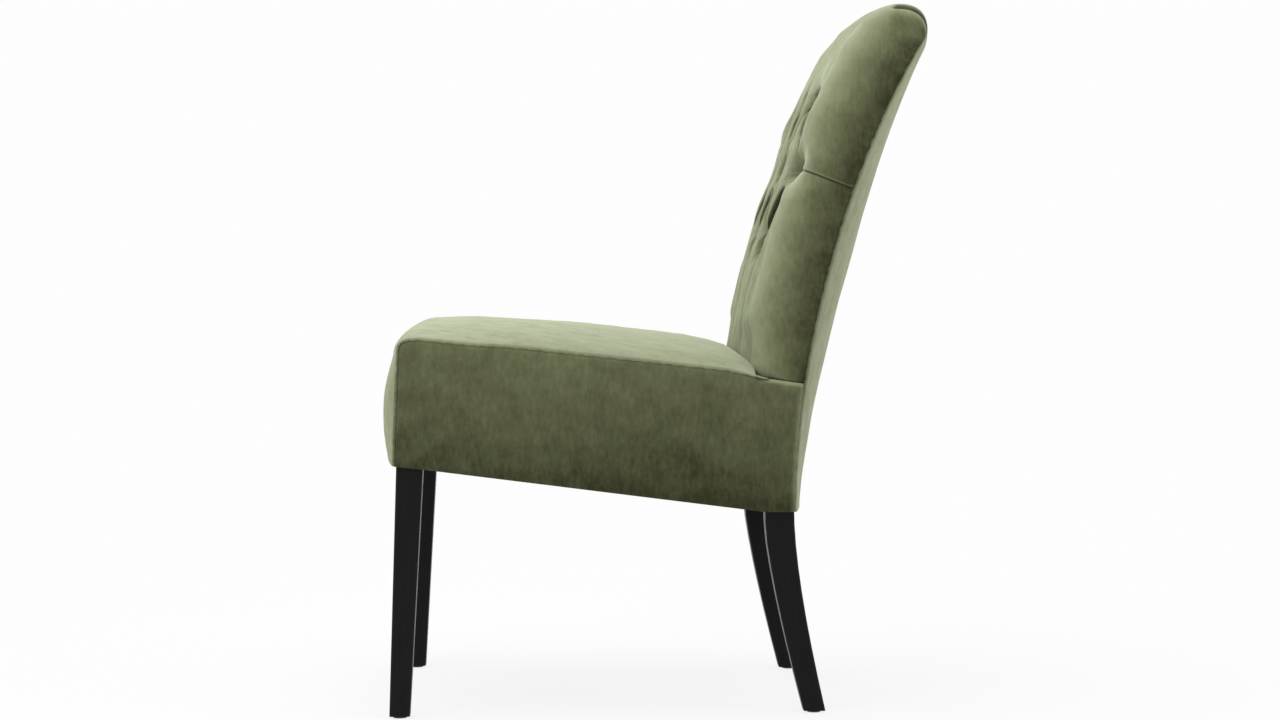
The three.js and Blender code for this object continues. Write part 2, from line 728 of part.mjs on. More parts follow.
const frontReach = backHalfWidth - backRollRadius;
const flapFoot = coverThickness + gap;
const flapHead = seamLength - postTopInsetHeight;
const noseCurve = new THREE.CubicBezierCurve(
  new THREE.Vector2(0, 1),
  new THREE.Vector2(topRiseHeight, 0.75),
  new THREE.Vector2(topRiseHeight + topReachDepth / 2, 0.18),
  new THREE.Vector2(seamLength - padHead, 0),
);

// The inside back is fullest at its middle, and drawn in at its lower corners and towards its top.
const footDrawEnd = seatSideHeight + seatCrownRearHeight;
function frontDepth(x, height) {
  const outward = THREE.MathUtils.clamp(Math.abs(x) / frontReach, 0, 1) ** 2;
  const nearFoot = 1 - THREE.MathUtils.smoothstep(height, footDrawEnd, footDrawEnd + footDrawHeight);
  const nearHead = THREE.MathUtils.smoothstep(height, padHead - headDrawHeight, padHead);
  return backDepth + backCrownDepth * (1 - outward) - footDrawDepth * outward * nearFoot - headDrawDepth * nearHead;
}

// The pad's outer edge at a row: how high and how deep it stands, for a place across the back.
function padEdge(x, v) {
  const row = v * (padRowCount + padNoseRowCount);
  if (row <= padRowCount) {
    const height = padRowHeight(row);
    return { height, depth: frontDepth(x, height), nose: 0 };
  }
  const t = (row - padRowCount) / padNoseRowCount;
  const { x: rise, y: share } = noseCurve.getPoint(t);
  const edge = flapFoot + rearFace(x, seamLength);
  const front = frontDepth(x, padHead);
  const crown = topCrownHeight * acrossBack(x) * Math.abs(Math.sin(Math.PI * t)) ** 0.8;
  return { height: padHead + rise + crown, depth: edge + share * (front - edge), nose: t };
}

function padOuter(u, v) {
  const columns = padFrontColumnCount + 2 * (padCornerColumnCount + padFlapColumnCount);
  const column = Math.abs(u - 0.5) * columns;
  const side = u < 0.5 ? -1 : 1;
  const half = padFrontColumnCount / 2;
  const flapHeight = THREE.MathUtils.lerp(padFoot, flapHead, v);
  if (column <= half) {
    const x = (side * frontReach * column) / half;
    const { height, depth, nose } = padEdge(x, v);
    const fade = 1 - nose;
    return backPoint(x, height, depth - drawnIn(x, height) * fade);
  }
  const edge = padEdge(backHalfWidth, v);
  const bend = THREE.MathUtils.clamp((column - half) / padCornerColumnCount, 0, 1);
  const flap = THREE.MathUtils.clamp((column - half - padCornerColumnCount) / padFlapColumnCount, 0, 1);
  const length = Math.hypot(edge.depth - flapFoot, edge.height - flapHeight);
  const roll = Math.min(backRollRadius, length * 0.7) / length;
  const power = THREE.MathUtils.lerp(1, 0.35, Math.min(1, edge.nose * 3));
  const [sine, cosine] = [Math.sin((bend * Math.PI) / 2) ** power, Math.cos((bend * Math.PI) / 2) ** power];
  const rise = bend === 1 ? (1 - flap) * (1 - roll) : 1 - roll + roll * cosine;
  const height = THREE.MathUtils.lerp(flapHeight, edge.height, rise);
  const depth = THREE.MathUtils.lerp(flapFoot, edge.depth, rise);
  const x = frontReach + backRollRadius * (bend === 1 ? 1 : sine);
  const fade = THREE.MathUtils.lerp(1, 0.25, bend) * (1 - 0.7 * flap);
  const sink = drawnIn(x, height) * (1 - edge.nose) * fade;
  const inward = side * (x - sink * sine * 0.9);
  return backPoint(inward, height, depth - sink * cosine);
}

// The pad's inner face lies on the posts, on the back foam and over the crest rail.
const innerColumnCount = 12;
const innerRowCount = 8;
function padInner(u, v) {
  const place = Math.abs(u - 0.5) * innerColumnCount;
  const side = u < 0.5 ? -1 : 1;
  const upRows = innerRowCount - 2;
  const row = v * innerRowCount;
  const up = Math.min(1, row / upRows);
  const over = THREE.MathUtils.clamp((row - upRows) / 2, 0, 1);
  const height = THREE.MathUtils.lerp(padFoot, postTop + gap + gap, up);
  const foamReach = postInner - gap;
  const flat = innerColumnCount / 2 - 2;
  if (place <= flat) {
    const x = (side * foamReach * place) / flat;
    const front = Math.max(foamFront(x, height), place === flat ? postFront : 0) + padEaseGap;
    const rear = flapFoot + rearFace(x, seamLength);
    return backPoint(x, height, THREE.MathUtils.lerp(front, rear, over));
  }
  const wrap = THREE.MathUtils.clamp(place - flat, 0, 1);
  const flap = THREE.MathUtils.clamp(place - flat - 1, 0, 1);
  const x = THREE.MathUtils.lerp(foamReach, postOuter + gap, wrap);
  const front = THREE.MathUtils.lerp(postFront + padEaseGap, flapFoot, over);
  const flapHeight = THREE.MathUtils.lerp(padFoot, flapHead - gap, v);
  const level = THREE.MathUtils.lerp(height, flapHeight, flap);
  return backPoint(side * x, level, THREE.MathUtils.lerp(front, flapFoot, flap));
}

const columnsAcross = padFrontColumnCount + 2 * (padCornerColumnCount + padFlapColumnCount);
let pad = solidOf(
  between(padOuter, padInner, [columnsAcross, padRowCount + padNoseRowCount], [innerColumnCount, innerRowCount]),
);

// Everything under the pad's foot is the seat's, so the pad is trimmed to the seat's top.
pad = pad.subtract(belowSeatPlane(seatSideHeight + gap));

// Back panel and foam between the posts, drilled for the twines

function backSheet(rearDepth, frontDepthOf, low, high, reach, columns, rows) {
  const face = (depth) => (u, v) => {
    const x = (2 * u - 1) * reach;
    const level = THREE.MathUtils.lerp(low, high, v);
    return backPoint(x, level, depth(x, level));
  };
  return solidOf(between(face(frontDepthOf), face(rearDepth), [columns, rows]));
}

const sheetReach = postInner - gap;
const sheetFoot = lowerRailLift();
const sheetHead = postTop - panelTopInsetHeight;
let panel = backSheet(
  (x, h) => railFront(x, h) + gap, panelFront, sheetFoot, sheetHead, sheetReach - gap, 8, 10);
let backFoam = backSheet(
  (x, h) => panelFront(x, h) + gap, foamFront, sheetFoot, sheetHead, sheetReach - gap, 8, 10);

// Covered buttons with their twines and the toggles behind the panel

const drillSideCount = 6;
const pocketRadius = (buttonRadius + gap) / Math.cos(Math.PI / drillSideCount);
buttons.forEach(({ x, height }, k) => {
  const frame = seamFrame(height);
  const seat = frontDepth(x, height) - buttonSinkDepth - gap;
  const back = railFront(Math.max(0, Math.abs(x) - toggleRadius), height);
  const at = (depth) => frame.point.clone().addScaledVector(frame.forward, depth).setX(x);
  const pocket = rod(pocketRadius, buttonSinkDepth * 2, drillSideCount, at(seat), frame.forward);
  const holeLength = seat + gap - back + overrunLength;
  const hole = rod(twineHoleRadius, holeLength, drillSideCount, at(back - overrunLength), frame.forward);
  pad = pad.subtract(pocket.add(hole));
  panel = panel.subtract(hole);
  backFoam = backFoam.subtract(hole);
  const toggle = back - gap - gap - toggleThickness;
  const profile = [
    [0, toggle],
    [toggleRadius, toggle],
    [toggleRadius, toggle + toggleThickness],
    [twineRadius, toggle + toggleThickness],
    [twineRadius, seat + gap],
    [buttonRadius, seat + gap],
    [buttonRadius * 0.96, seat + gap + buttonDomeHeight * 0.45],
    [buttonRadius * 0.62, seat + gap + buttonDomeHeight * 0.86],
    [0, seat + gap + buttonDomeHeight],
  ];
  addPart(`back_button_${k + 1}`, turned(profile, 8, at(0), frame.forward), velvetDark);
});
addPart("inside_back_pad", pad, velvet);
addPart("back_panel", panel, plywood);
addPart("back_foam", backFoam, foam);

// Outside back cover: one bowed sheet from the top edge to the side covers' lower edge

const coverColumnCount = 14;
const coverRowCount = 16;
{
  const face = (inset) => (u, v) => {
    const x = (2 * u - 1) * backHalfWidth;
    const height = THREE.MathUtils.lerp(-seatHemRearHeight, seamLength, v);
    return backPoint(x, height, rearFace(x, height) + inset);
  };
  addPart("outside_back_cover", between(face(0), face(coverThickness), [coverColumnCount, coverRowCount]), velvet);
}

// Seat cover: top and front in one waterfall piece, over the seat foam

const seatFaceRowCount = 5;
const seatShoulderRowCount = 4;
const seatTopRowCount = 8;
const seatDropRowCount = 1;
const seatTongueRowCount = 1;
const seatRows = {
  face: seatFaceRowCount,
  shoulder: seatShoulderRowCount,
  top: seatTopRowCount,
  drop: seatDropRowCount,
  tongue: seatTongueRowCount,
};
const seatRowCount = Object.values(seatRows).reduce((sum, rows) => sum + rows, 0);
const seatColumnCount = 16;
const padFaceAt = (x) => backPoint(x, seatSideHeight, frontDepth(x, padFoot) + gap).y;
const seatRear = kneeLine() - gap;

// The seat's outline seen from the side, at a place across it: face, shoulder, top and tuck.
function waterfallCurves(across) {
  const weight = crownWeight(across);
  const drop = THREE.MathUtils.lerp(seatEdgeHeight, seatShoulderHeight, weight);
  const reach = THREE.MathUtils.lerp(seatEdgeDepth, seatShoulderDepth, weight);
  const foot = new THREE.Vector2(-seatFrontBowFootDepth * weight, 0);
  const brow = new THREE.Vector2(seatFrontLeanDepth - seatFrontBowTopDepth * weight, seatSideHeight - drop);
  const belly = foot.clone().lerp(brow, 0.5).add(new THREE.Vector2(-seatFrontBulgeDepth * 2 * weight, 0));
  const shoulder = new THREE.Vector2(reach, seatSideHeight + seatCrownFrontHeight * weight);
  const tuckY = padFaceAt(across * backHalfWidth) - tuckGap;
  const tuck = new THREE.Vector2(tuckY, seatSideHeight + seatCrownRearHeight * weight);
  const summit = 2 * seatCrownMiddleHeight - (seatCrownFrontHeight + seatCrownRearHeight) / 2;
  const middle = new THREE.Vector2((reach + tuckY) / 2, seatSideHeight + summit * weight);
  const tuckFoot = new THREE.Vector2(tuckY + gap, seatSideHeight);
  const rear = new THREE.Vector2(seatRear, seatSideHeight);
  const browHandle = brow.clone().add(new THREE.Vector2(0, drop * 0.7));
  const crownHandle = seatCrownFrontHeight * 0.1 * weight;
  const shoulderHandle = shoulder.clone().add(new THREE.Vector2(-reach * 0.62, -crownHandle));
  return {
    face: new THREE.QuadraticBezierCurve(foot, belly, brow),
    shoulder: new THREE.CubicBezierCurve(brow, browHandle, shoulderHandle, shoulder),
    top: new THREE.QuadraticBezierCurve(shoulder, middle, tuck),
    drop: new THREE.LineCurve(tuck, tuckFoot),
    tongue: new THREE.LineCurve(tuckFoot, rear),
  };
}

// The same outline by rows, set in from the outside of the cloth by a distance.
function waterfall(across, row, inset) {
  const curves = waterfallCurves(across);
  let left = row;
  for (const [name, rows] of Object.entries(seatRows)) {
    if (left <= rows) {
      const t = left / rows;
      const point = curves[name].getPoint(t);
      const along = curves[name].getTangent(t);
      const mitred = name === "drop" || (name === "top" && t === 1);
      const inward = mitred ? new THREE.Vector2(-1, -1) : new THREE.Vector2(along.y, -along.x);
      return point.addScaledVector(inward, inset);
    }
    left -= rows;
  }
  return curves.tongue.getPoint(1);
}

// A sheet surface across the seat: u runs from the sitter's right to left, v along the waterfall.
const waterfallFace = (inset, sideInset) => (u, v) => {
  const across = 2 * u - 1;
  const { x: y, y: height } = waterfall(across, v * seatRowCount, inset);
  return seatPoint(across * (halfWidthAt(y) - sideInset), y, height);
};
addPart(
  "seat_cover",
  between(waterfallFace(0, 0), waterfallFace(coverThickness, 0), [seatColumnCount, seatRowCount]),
  velvet,
);

{
  const rimRow = seatFaceRowCount + seatShoulderRowCount / 2;
  const floor = webTop + gap;
  const face = frontLegFront - gap;
  const outer = (u, v) => {
    const side = 2 * u - 1;
    const { x: nominal } = waterfall(side, v * seatRowCount, coverThickness + padEaseGap);
    const across = (side * frameSide(nominal)) / halfWidthAt(nominal);
    const { x: y, y: height } = waterfall(across, v * seatRowCount, coverThickness + padEaseGap);
    return seatPoint(side * frameSide(y), Math.min(y, seatRear), Math.max(height, railLiftHeight));
  };
  const inner = (u, v) => {
    const row = v * seatRowCount;
    const onFace = row <= rimRow;
    const y = onFace ? face : THREE.MathUtils.mapLinear(row, rimRow, seatRowCount, face, seatRear);
    const height = onFace ? THREE.MathUtils.lerp(railLiftHeight, floor, row / rimRow) : floor;
    return seatPoint((2 * u - 1) * frameSide(y), y, height);
  };
  const slab = solidOf(between(outer, inner, [seatColumnCount, seatRowCount], [4, seatRowCount]));
  addPart("seat_foam", slab.subtract(cutters.front_left).subtract(cutters.front_right), foam);
}

// Side covers, each with its wadding, from the front seam to the rear seam

const sideRim = coverThickness + gap;
const sideColumnCount = 14;
const edge = waterfallCurves(1);

// The height of the side cover's top edge at a depth: under the rounded shoulder, then level.
function sideTop(y) {
  const { shoulder } = edge;
  const reach = y - sideRim;
  if (reach >= shoulder.v3.x) return shoulder.v3.y - sideRim;
  let [low, high] = [0, 1];
  for (let step = 0; step < 20; step += 1) {
    const t = (low + high) / 2;
    if (shoulder.getPoint(t).x < reach) low = t;
    else high = t;
  }
  return shoulder.getPoint(low).y - sideRim;
}

// The covers' lower edge falls below the frame towards the rear legs, and rises a little behind them.
function hemAt(y) {
  const rise = seatHemRearHeight - seatHemDropHeight;
  if (y > kneeLine()) return -seatHemDropHeight - rise * ((y - kneeLine()) / (seatDepth - kneeLine()));
  return (-seatHemDropHeight * Math.max(0, y - headLine())) / (kneeLine() - headLine());
}

for (const [name, side] of Object.entries(sides)) {
  const place = (u, v) => {
    const along = u ** 1.5;
    const nominal = THREE.MathUtils.lerp(seatFrontLeanDepth + sideRim, seatDepth, along);
    const height = THREE.MathUtils.lerp(hemAt(nominal), sideTop(nominal), v);
    const front = (seatFrontLeanDepth * Math.min(height, edge.face.v2.y)) / edge.face.v2.y + sideRim;
    const rear = backPoint(0, height, flapFoot).y;
    return { y: THREE.MathUtils.lerp(front, rear, along), height };
  };
  const outer = (u, v) => {
    const { y, height } = place(u, v);
    const puff = seatSidePuffThickness * Math.sin(Math.PI * u) ** 0.5 * Math.sin(Math.PI * v) ** 0.7;
    return seatPoint(side * (halfWidthAt(y) + puff), y, height);
  };
  const inner = (u, v) => {
    const { y, height } = place(u, v);
    return seatPoint(side * (frameSide(y) + gap + gap), y, height);
  };
  addPart(`seat_side_cover_${name}`, between(outer, inner, [sideColumnCount, 7], [sideColumnCount, 2]), velvet);
}

// Dust cover, tacked under the rails

{
  const level = railLiftHeight - gap;
  const front = frontLegFront + railThickness / 2;
  const face = (drop) => (u, v) => {
    const across = 2 * u - 1;
    const rearX = across * (postOuter - railThickness / 2);
    const rear = backPoint(0, railLiftHeight, railFront(rearX, railLiftHeight) - railThickness / 2).y;
    const y = THREE.MathUtils.lerp(front, rear, v);
    return seatPoint(across * (frameSide(y) - railThickness / 2), y, level - drop);
  };
  let sheet = solidOf(between(face(0), face(dustCoverThickness), [8, 3]));
  for (const cutter of Object.values(cutters)) sheet = sheet.subtract(cutter);
  addPart("dust_cover", sheet, feltCloth);
}

// The origin goes to the floor, under the middle of the chair.
const box = new THREE.Box3().setFromObject(chair);
chair.position.y = -(box.min.y + box.max.y) / 2;

export default chair;
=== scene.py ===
import math

import bpy
import numpy as np
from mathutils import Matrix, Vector


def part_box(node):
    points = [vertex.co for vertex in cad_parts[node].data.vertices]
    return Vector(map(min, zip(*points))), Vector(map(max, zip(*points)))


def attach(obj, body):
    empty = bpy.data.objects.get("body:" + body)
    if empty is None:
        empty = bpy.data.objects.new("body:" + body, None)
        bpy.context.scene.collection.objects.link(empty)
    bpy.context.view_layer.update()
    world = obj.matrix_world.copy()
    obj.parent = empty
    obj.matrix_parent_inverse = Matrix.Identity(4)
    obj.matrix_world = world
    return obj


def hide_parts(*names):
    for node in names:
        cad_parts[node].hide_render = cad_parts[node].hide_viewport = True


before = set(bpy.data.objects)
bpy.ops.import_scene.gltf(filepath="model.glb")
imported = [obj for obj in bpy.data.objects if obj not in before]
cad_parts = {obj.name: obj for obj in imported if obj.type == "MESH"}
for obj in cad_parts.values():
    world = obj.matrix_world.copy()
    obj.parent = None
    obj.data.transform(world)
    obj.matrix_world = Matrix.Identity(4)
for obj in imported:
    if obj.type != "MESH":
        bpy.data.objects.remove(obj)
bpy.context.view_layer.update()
bpy.ops.object.select_all(action="DESELECT")

# Sizes of the chair in metres, as in the CAD source
GAP = 0.0003
CLOTH = 0.002
SEAT_FRONT = 0.490
SEAT_DEPTH = 0.523
SEAT_SIDE = 0.168
UNDERSIDE = 0.328
SEAT_FALL = 0.057
FACE_LEAN = 0.006
FACE_BOW_FOOT = 0.015
FACE_BOW_TOP = 0.013
FACE_BULGE = 0.0115
SHOULDER_REACH = 0.052
SHOULDER_DROP = 0.032
EDGE_REACH = 0.044
EDGE_DROP = 0.018
CROWN_FRONT = 0.023
CROWN_MIDDLE = 0.039
CROWN_REAR = 0.028
SIDE_PUFF = 0.004
HEM_DROP = 0.010
HEM_REAR = 0.006
BACK_WIDTH = 0.430
BACK_HALF = BACK_WIDTH / 2
BACK_RISE = 0.612
BACK_RAKE = 0.169
LOWER_HANDLE = 0.195
UPPER_HANDLE = 0.200
BACK_ANGLE = math.radians(31.6)
BACK_DEPTH = 0.088
BOW_END = 0.018
BOW_MIDDLE = 0.023
BACK_CROWN = 0.006
FOOT_DRAW = 0.011
FOOT_DRAW_HEIGHT = 0.040
HEAD_DRAW = 0.007
HEAD_DRAW_HEIGHT = 0.040
ROLL = 0.0395
TOP_RISE = 0.038
TOP_REACH = 0.031
PAD_TUCK = 0.0135
PAD_TOP = 0.0224
BUTTON_EDGE = 0.053
BUTTON_ROW = 0.098
BUTTON_TOP = 0.120
BUTTON = 0.011
BUTTON_SINK = 0.027
PLEAT_MIDDLE = 0.012
POST_WIDTH = 0.036
POST_DEPTH = 0.038
POST_TOP = 0.010
REAR_PADDING = 0.008
RAIL = 0.022
RAIL_LIFT = 0.004
RAIL_HEIGHT = 0.085
PANEL = 0.005
BACK_FOAM = 0.038
TOGGLE_RADIUS = 0.006
TOGGLE_THICK = 0.003
TWINE = 0.0014
LEG_FACE = 0.0086
LEG_TOP = 0.0345
LEG_INSET = 0.0085

# Sizes of the dressed form's own; a pair is where something starts and where it ends
TOP_CROWN = 0.0190
TOP_REACH_TRIM = 0.0010
CORNER_DRAW_FRONT = 0.0045
CORNER_DRAW_SIDE = 0.006
CORNER_DRAW_HEIGHT = 0.070
FOOT_CURL_FRONT = 0.006
FOOT_CURL_SIDE = 0.008
FOOT_CURL_HEIGHT = 0.018
SEAM_ARCH = 0.0030
ARCH_START = (0.080, 0.170)
ARCH_END = (0.425, 0.462)
CORNER_FALL = 0.0046
CORNER_FALL_ZONE = (0.450, 0.482)
TAIL_FALL = 0.0016
TAIL_LENGTH = 0.050

# The CAD source measures depth from the seat's front seam, the frame from the chair's middle
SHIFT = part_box("front_rail")[0].y - LEG_FACE
BODY = "root"


def clamp(x, low, high):
    return np.minimum(np.maximum(x, low), high)


def mix(a, b, t):
    return a + (b - a) * t


def smooth(x, low, high):
    t = clamp((x - low) / (high - low), 0, 1)
    return t * t * (3 - 2 * t)


def bell(x, reach):
    """1 in the middle, dying away over a reach."""
    return np.exp(-((x / reach) ** 2))


def ripple(x, y, z, scale, seed=0.0):
    """Smooth, repeatable unevenness between -1 and 1."""
    total = np.zeros(np.broadcast(x, y, z).shape)
    for k in range(5):
        turn = 1.7 * k + seed
        waves = scale * (1 + 0.37 * k)
        level = x * math.cos(turn) + y * math.sin(turn)
        upright = z * math.cos(1.3 * turn) + (y - x) * math.sin(1.3 * turn)
        wave = np.sin(waves * level + 2.3 * turn) * np.sin(waves * upright + 4.1 * turn)
        total = total + wave / (1 + 0.5 * k)
    return total / 2.5


def puckers(along, from_seam, depth, waves, sway, swing, reach):
    """Small gathers along a seam, uneven in their spacing."""
    return depth * (1 + np.sin(along * waves + sway * np.sin(along * swing))) * np.exp(-from_seam / reach)


def cubic(t, a, b, c, d):
    """A point on a Bezier curve from a to d, with handles b and c."""
    return (1 - t) ** 3 * a + 3 * t * (1 - t) ** 2 * b + 3 * t**2 * (1 - t) * c + t**3 * d


# Seat: heights stand on the sloping underside
def underside(y):
    return UNDERSIDE - SEAT_FALL * y / SEAT_DEPTH


def half_width(y):
    return mix(SEAT_FRONT, BACK_WIDTH, y / SEAT_DEPTH) / 2


def seat_point(x, y, height):
    """A place on the seat: height above its sloping underside."""
    return np.stack([x + 0 * y, y + 0 * x, underside(y) + height + 0 * x], -1)


# Back: the rear seam is a Bezier curve, read by length along it
def seam_table():
    foot = np.array([SEAT_DEPTH, UNDERSIDE - SEAT_FALL])
    head = foot + np.array([BACK_RAKE, BACK_RISE])
    lower = foot + np.array([0, LOWER_HANDLE])
    upper = head - UPPER_HANDLE * np.array([math.sin(BACK_ANGLE), math.cos(BACK_ANGLE)])
    t = np.linspace(0, 1, 3001)[:, None]
    points = cubic(t, foot, lower, upper, head)
    steps = np.linalg.norm(np.diff(points, axis=0), axis=1)
    length = np.concatenate([[0], np.cumsum(steps)])
    along = np.gradient(points, axis=0)
    along /= np.linalg.norm(along, axis=1)[:, None]
    return length, points, along


SEAM_AT, SEAM, SEAM_ALONG = seam_table()
SEAM_LENGTH = SEAM_AT[-1]
ROW = SEAM_LENGTH - BUTTON_TOP - BUTTON_ROW
PITCH = (BACK_WIDTH - 2 * BUTTON_EDGE) / 3
POST_REAR = CLOTH + 2 * GAP
POST_FRONT = POST_REAR + POST_DEPTH
POST_OUTER = BACK_HALF - SIDE_PUFF - CLOTH - GAP
POST_INNER = POST_OUTER - POST_WIDTH
POST_HEAD = SEAM_LENGTH - POST_TOP
FRONT_REACH = BACK_HALF - ROLL
PAD_FOOT = SEAT_SIDE - PAD_TUCK
PAD_HEAD = SEAM_LENGTH - PAD_TOP


def seam_frame(height):
    """Place on the rear seam at a height up it, and the seam's direction there."""
    inside = clamp(height, 0, SEAM_LENGTH)
    point = [np.interp(inside, SEAM_AT, SEAM[:, k]) for k in (0, 1)]
    up = [np.interp(inside, SEAM_AT, SEAM_ALONG[:, k]) for k in (0, 1)]
    return point[0] + up[0] * (height - inside), point[1] + up[1] * (height - inside), up[0], up[1]


def back_point(x, height, depth):
    """A place on the raked back: height up the rear seam, depth forward of it."""
    y, z, along, rise = seam_frame(height)
    return np.stack([x + 0 * y, y - rise * depth + 0 * x, z + along * depth + 0 * x], -1)


def bow(height):
    return BOW_END + BOW_MIDDLE * np.sin(math.pi * clamp(height / SEAM_LENGTH, 0, 1))


def rear_face(x, height):
    return -bow(height) * (1 - (x / BACK_HALF) ** 2)


def front_depth(x, height):
    """The inside back is fullest at its middle, drawn in at its lower corners and towards its top."""
    outward = clamp(np.abs(x) / FRONT_REACH, 0, 1) ** 2
    foot = SEAT_SIDE + CROWN_REAR
    near_foot = 1 - smooth(height, foot, foot + FOOT_DRAW_HEIGHT)
    near_head = smooth(height, PAD_HEAD - HEAD_DRAW_HEIGHT, PAD_HEAD)
    depth = BACK_DEPTH + BACK_CROWN * (1 - outward)
    depth = depth - FOOT_DRAW * outward * near_foot - HEAD_DRAW * near_head
    return depth - outward * (CORNER_DRAW_FRONT * corner_pull(height) + FOOT_CURL_FRONT * foot_curl(height))


def corner_pull(height):
    """How much the pad's lower corners are drawn in, as a share."""
    return 1 - smooth(height, PAD_FOOT, PAD_FOOT + CORNER_DRAW_HEIGHT)


def foot_curl(height):
    """The round of the pad's lowest edge, as a share."""
    up = clamp((height - PAD_FOOT) / FOOT_CURL_HEIGHT, 0, 1)
    return 1 - np.sqrt(1 - (1 - up) ** 2)


def foam_front(x, height):
    return rear_face(x, height) + REAR_PADDING + RAIL + GAP + PANEL + GAP + BACK_FOAM


# Making pieces
def select_only(*objects):
    bpy.ops.object.select_all(action="DESELECT")
    for o in objects:
        o.select_set(True)
    bpy.context.view_layer.objects.active = objects[0]


def lay_grid(name, surface, columns, rows):
    """A grid laid on a surface given by u and v from 0 to 1; points come out in the frame."""
    bpy.ops.mesh.primitive_grid_add(x_subdivisions=columns, y_subdivisions=rows, size=2)
    piece = bpy.context.object
    piece.name = name
    piece.data.name = name
    count = len(piece.data.vertices)
    flat = np.zeros(count * 3, np.float32)
    piece.data.vertices.foreach_get("co", flat)
    across, along = (flat.reshape(-1, 3)[:, :2].astype(float).T + 1.0) / 2
    points = surface(across, along)
    if isinstance(points, tuple):
        # painted shade in folds and seams, and painted light and shade mixed with the pile's tone
        points, painted_shade, tone_and_painted_light = points
        for title, values in (("painted_shade", painted_shade), ("tone_and_painted_light", tone_and_painted_light)):
            mark = piece.data.attributes.new(title, "FLOAT", "POINT")
            mark.data.foreach_set("value", np.clip(values + 0 * points[:, 0], 0, 1).astype(np.float32))
    points = points + np.array([0, SHIFT, 0])
    piece.data.vertices.foreach_set("co", points.astype(np.float32).ravel())
    piece.data.update()
    return piece


def face_outwards(piece):
    select_only(piece)
    bpy.ops.object.mode_set(mode="EDIT")
    bpy.ops.mesh.select_all(action="SELECT")
    bpy.ops.mesh.normals_make_consistent(inside=False)
    bpy.ops.object.mode_set(mode="OBJECT")


def smooth_faces(piece, degrees=50):
    select_only(piece)
    bpy.ops.object.shade_smooth_by_angle(angle=math.radians(degrees))


def filled(name, outer, inner, fine, coarse):
    """A stuffed piece: a fine outer face and a plain inner face, joined round their rims."""
    front = lay_grid(name, outer, *fine)
    rear = lay_grid(name + "_inner", inner, *coarse)
    select_only(front, rear)
    bpy.ops.object.join()
    bpy.ops.object.mode_set(mode="EDIT")
    bpy.ops.mesh.select_all(action="DESELECT")
    bpy.ops.mesh.select_non_manifold(extend=False)
    bpy.ops.mesh.bridge_edge_loops()
    bpy.ops.object.mode_set(mode="OBJECT")
    face_outwards(front)
    smooth_faces(front)
    return front


def apply_modifier(piece, kind, **settings):
    select_only(piece)
    modifier = piece.modifiers.new(kind.lower(), kind)
    for key, value in settings.items():
        setattr(modifier, key, value)
    bpy.ops.object.modifier_apply(modifier=modifier.name)


def cloth(name, surface, columns, rows, outward, thickness=CLOTH):
    """A sheet of cloth whose shown face lies on the surface; outward is a rough direction."""
    piece = lay_grid(name, surface, columns, rows)
    select_only(piece)
    middle = piece.data.polygons[len(piece.data.polygons) // 2]
    if middle.normal.dot(Vector(outward)) < 0:
        bpy.ops.object.mode_set(mode="EDIT")
        bpy.ops.mesh.select_all(action="SELECT")
        bpy.ops.mesh.flip_normals()
        bpy.ops.object.mode_set(mode="OBJECT")
    apply_modifier(piece, "SOLIDIFY", thickness=thickness, offset=-1.0)
    smooth_faces(piece)
    return piece


def finish_piece(piece, material, slot, *nodes):
    piece.data.materials.clear()
    piece.data.materials.append(material)
    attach(piece, BODY)
    if nodes:
        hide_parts(*nodes)
    return piece


# Materials
def new_material(name):
    material = bpy.data.materials.new(name)
    material.use_nodes = True
    nodes = material.node_tree.nodes
    shader = nodes["Principled BSDF"]
    return material, nodes, material.node_tree.links, shader


def coordinates(nodes, links, scale=(1, 1, 1)):
    place = nodes.new("ShaderNodeTexCoord")
    stretch = nodes.new("ShaderNodeMapping")
    stretch.inputs["Scale"].default_value = scale
    links.new(place.outputs["Object"], stretch.inputs["Vector"])
    return stretch.outputs["Vector"]


def noise(nodes, links, vector, scale, detail=3.0, rough=0.5):
    texture = nodes.new("ShaderNodeTexNoise")
    texture.inputs["Scale"].default_value = scale
    texture.inputs["Detail"].default_value = detail
    texture.inputs["Roughness"].default_value = rough
    links.new(vector, texture.inputs["Vector"])
    return texture.outputs["Fac"]


def ramp(nodes, links, value, stops):
    table = nodes.new("ShaderNodeValToRGB")
    table.color_ramp.elements[0].position = stops[0][0]
    table.color_ramp.elements[0].color = (*stops[0][1], 1)
    table.color_ramp.elements[1].position = stops[-1][0]
    table.color_ramp.elements[1].color = (*stops[-1][1], 1)
    for place, color in stops[1:-1]:
        table.color_ramp.elements.new(place).color = (*color, 1)
    links.new(value, table.inputs["Fac"])
    return table.outputs["Color"]


def blend_colors(nodes, links, factor, a, b):
    node = nodes.new("ShaderNodeMix")
    node.data_type = "RGBA"
    links.new(factor, node.inputs[0])
    for socket, value in ((node.inputs[6], a), (node.inputs[7], b)):
        if isinstance(value, tuple):
            socket.default_value = (*value, 1)
        else:
            links.new(value, socket)
    return node.outputs[2]


def calculate(nodes, links, operation, *values):
    """A Math node fed with sockets or plain numbers."""
    node = nodes.new("ShaderNodeMath")
    node.operation = operation
    for socket, value in zip(node.inputs, values):
        if isinstance(value, (int, float)):
            socket.default_value = value
        else:
            links.new(value, socket)
    return node.outputs[0]


def mesh_mark(nodes, title):
    """A value that the mesh carries under a name."""
    mark = nodes.new("ShaderNodeAttribute")
    mark.attribute_name = title
    return mark.outputs["Fac"]


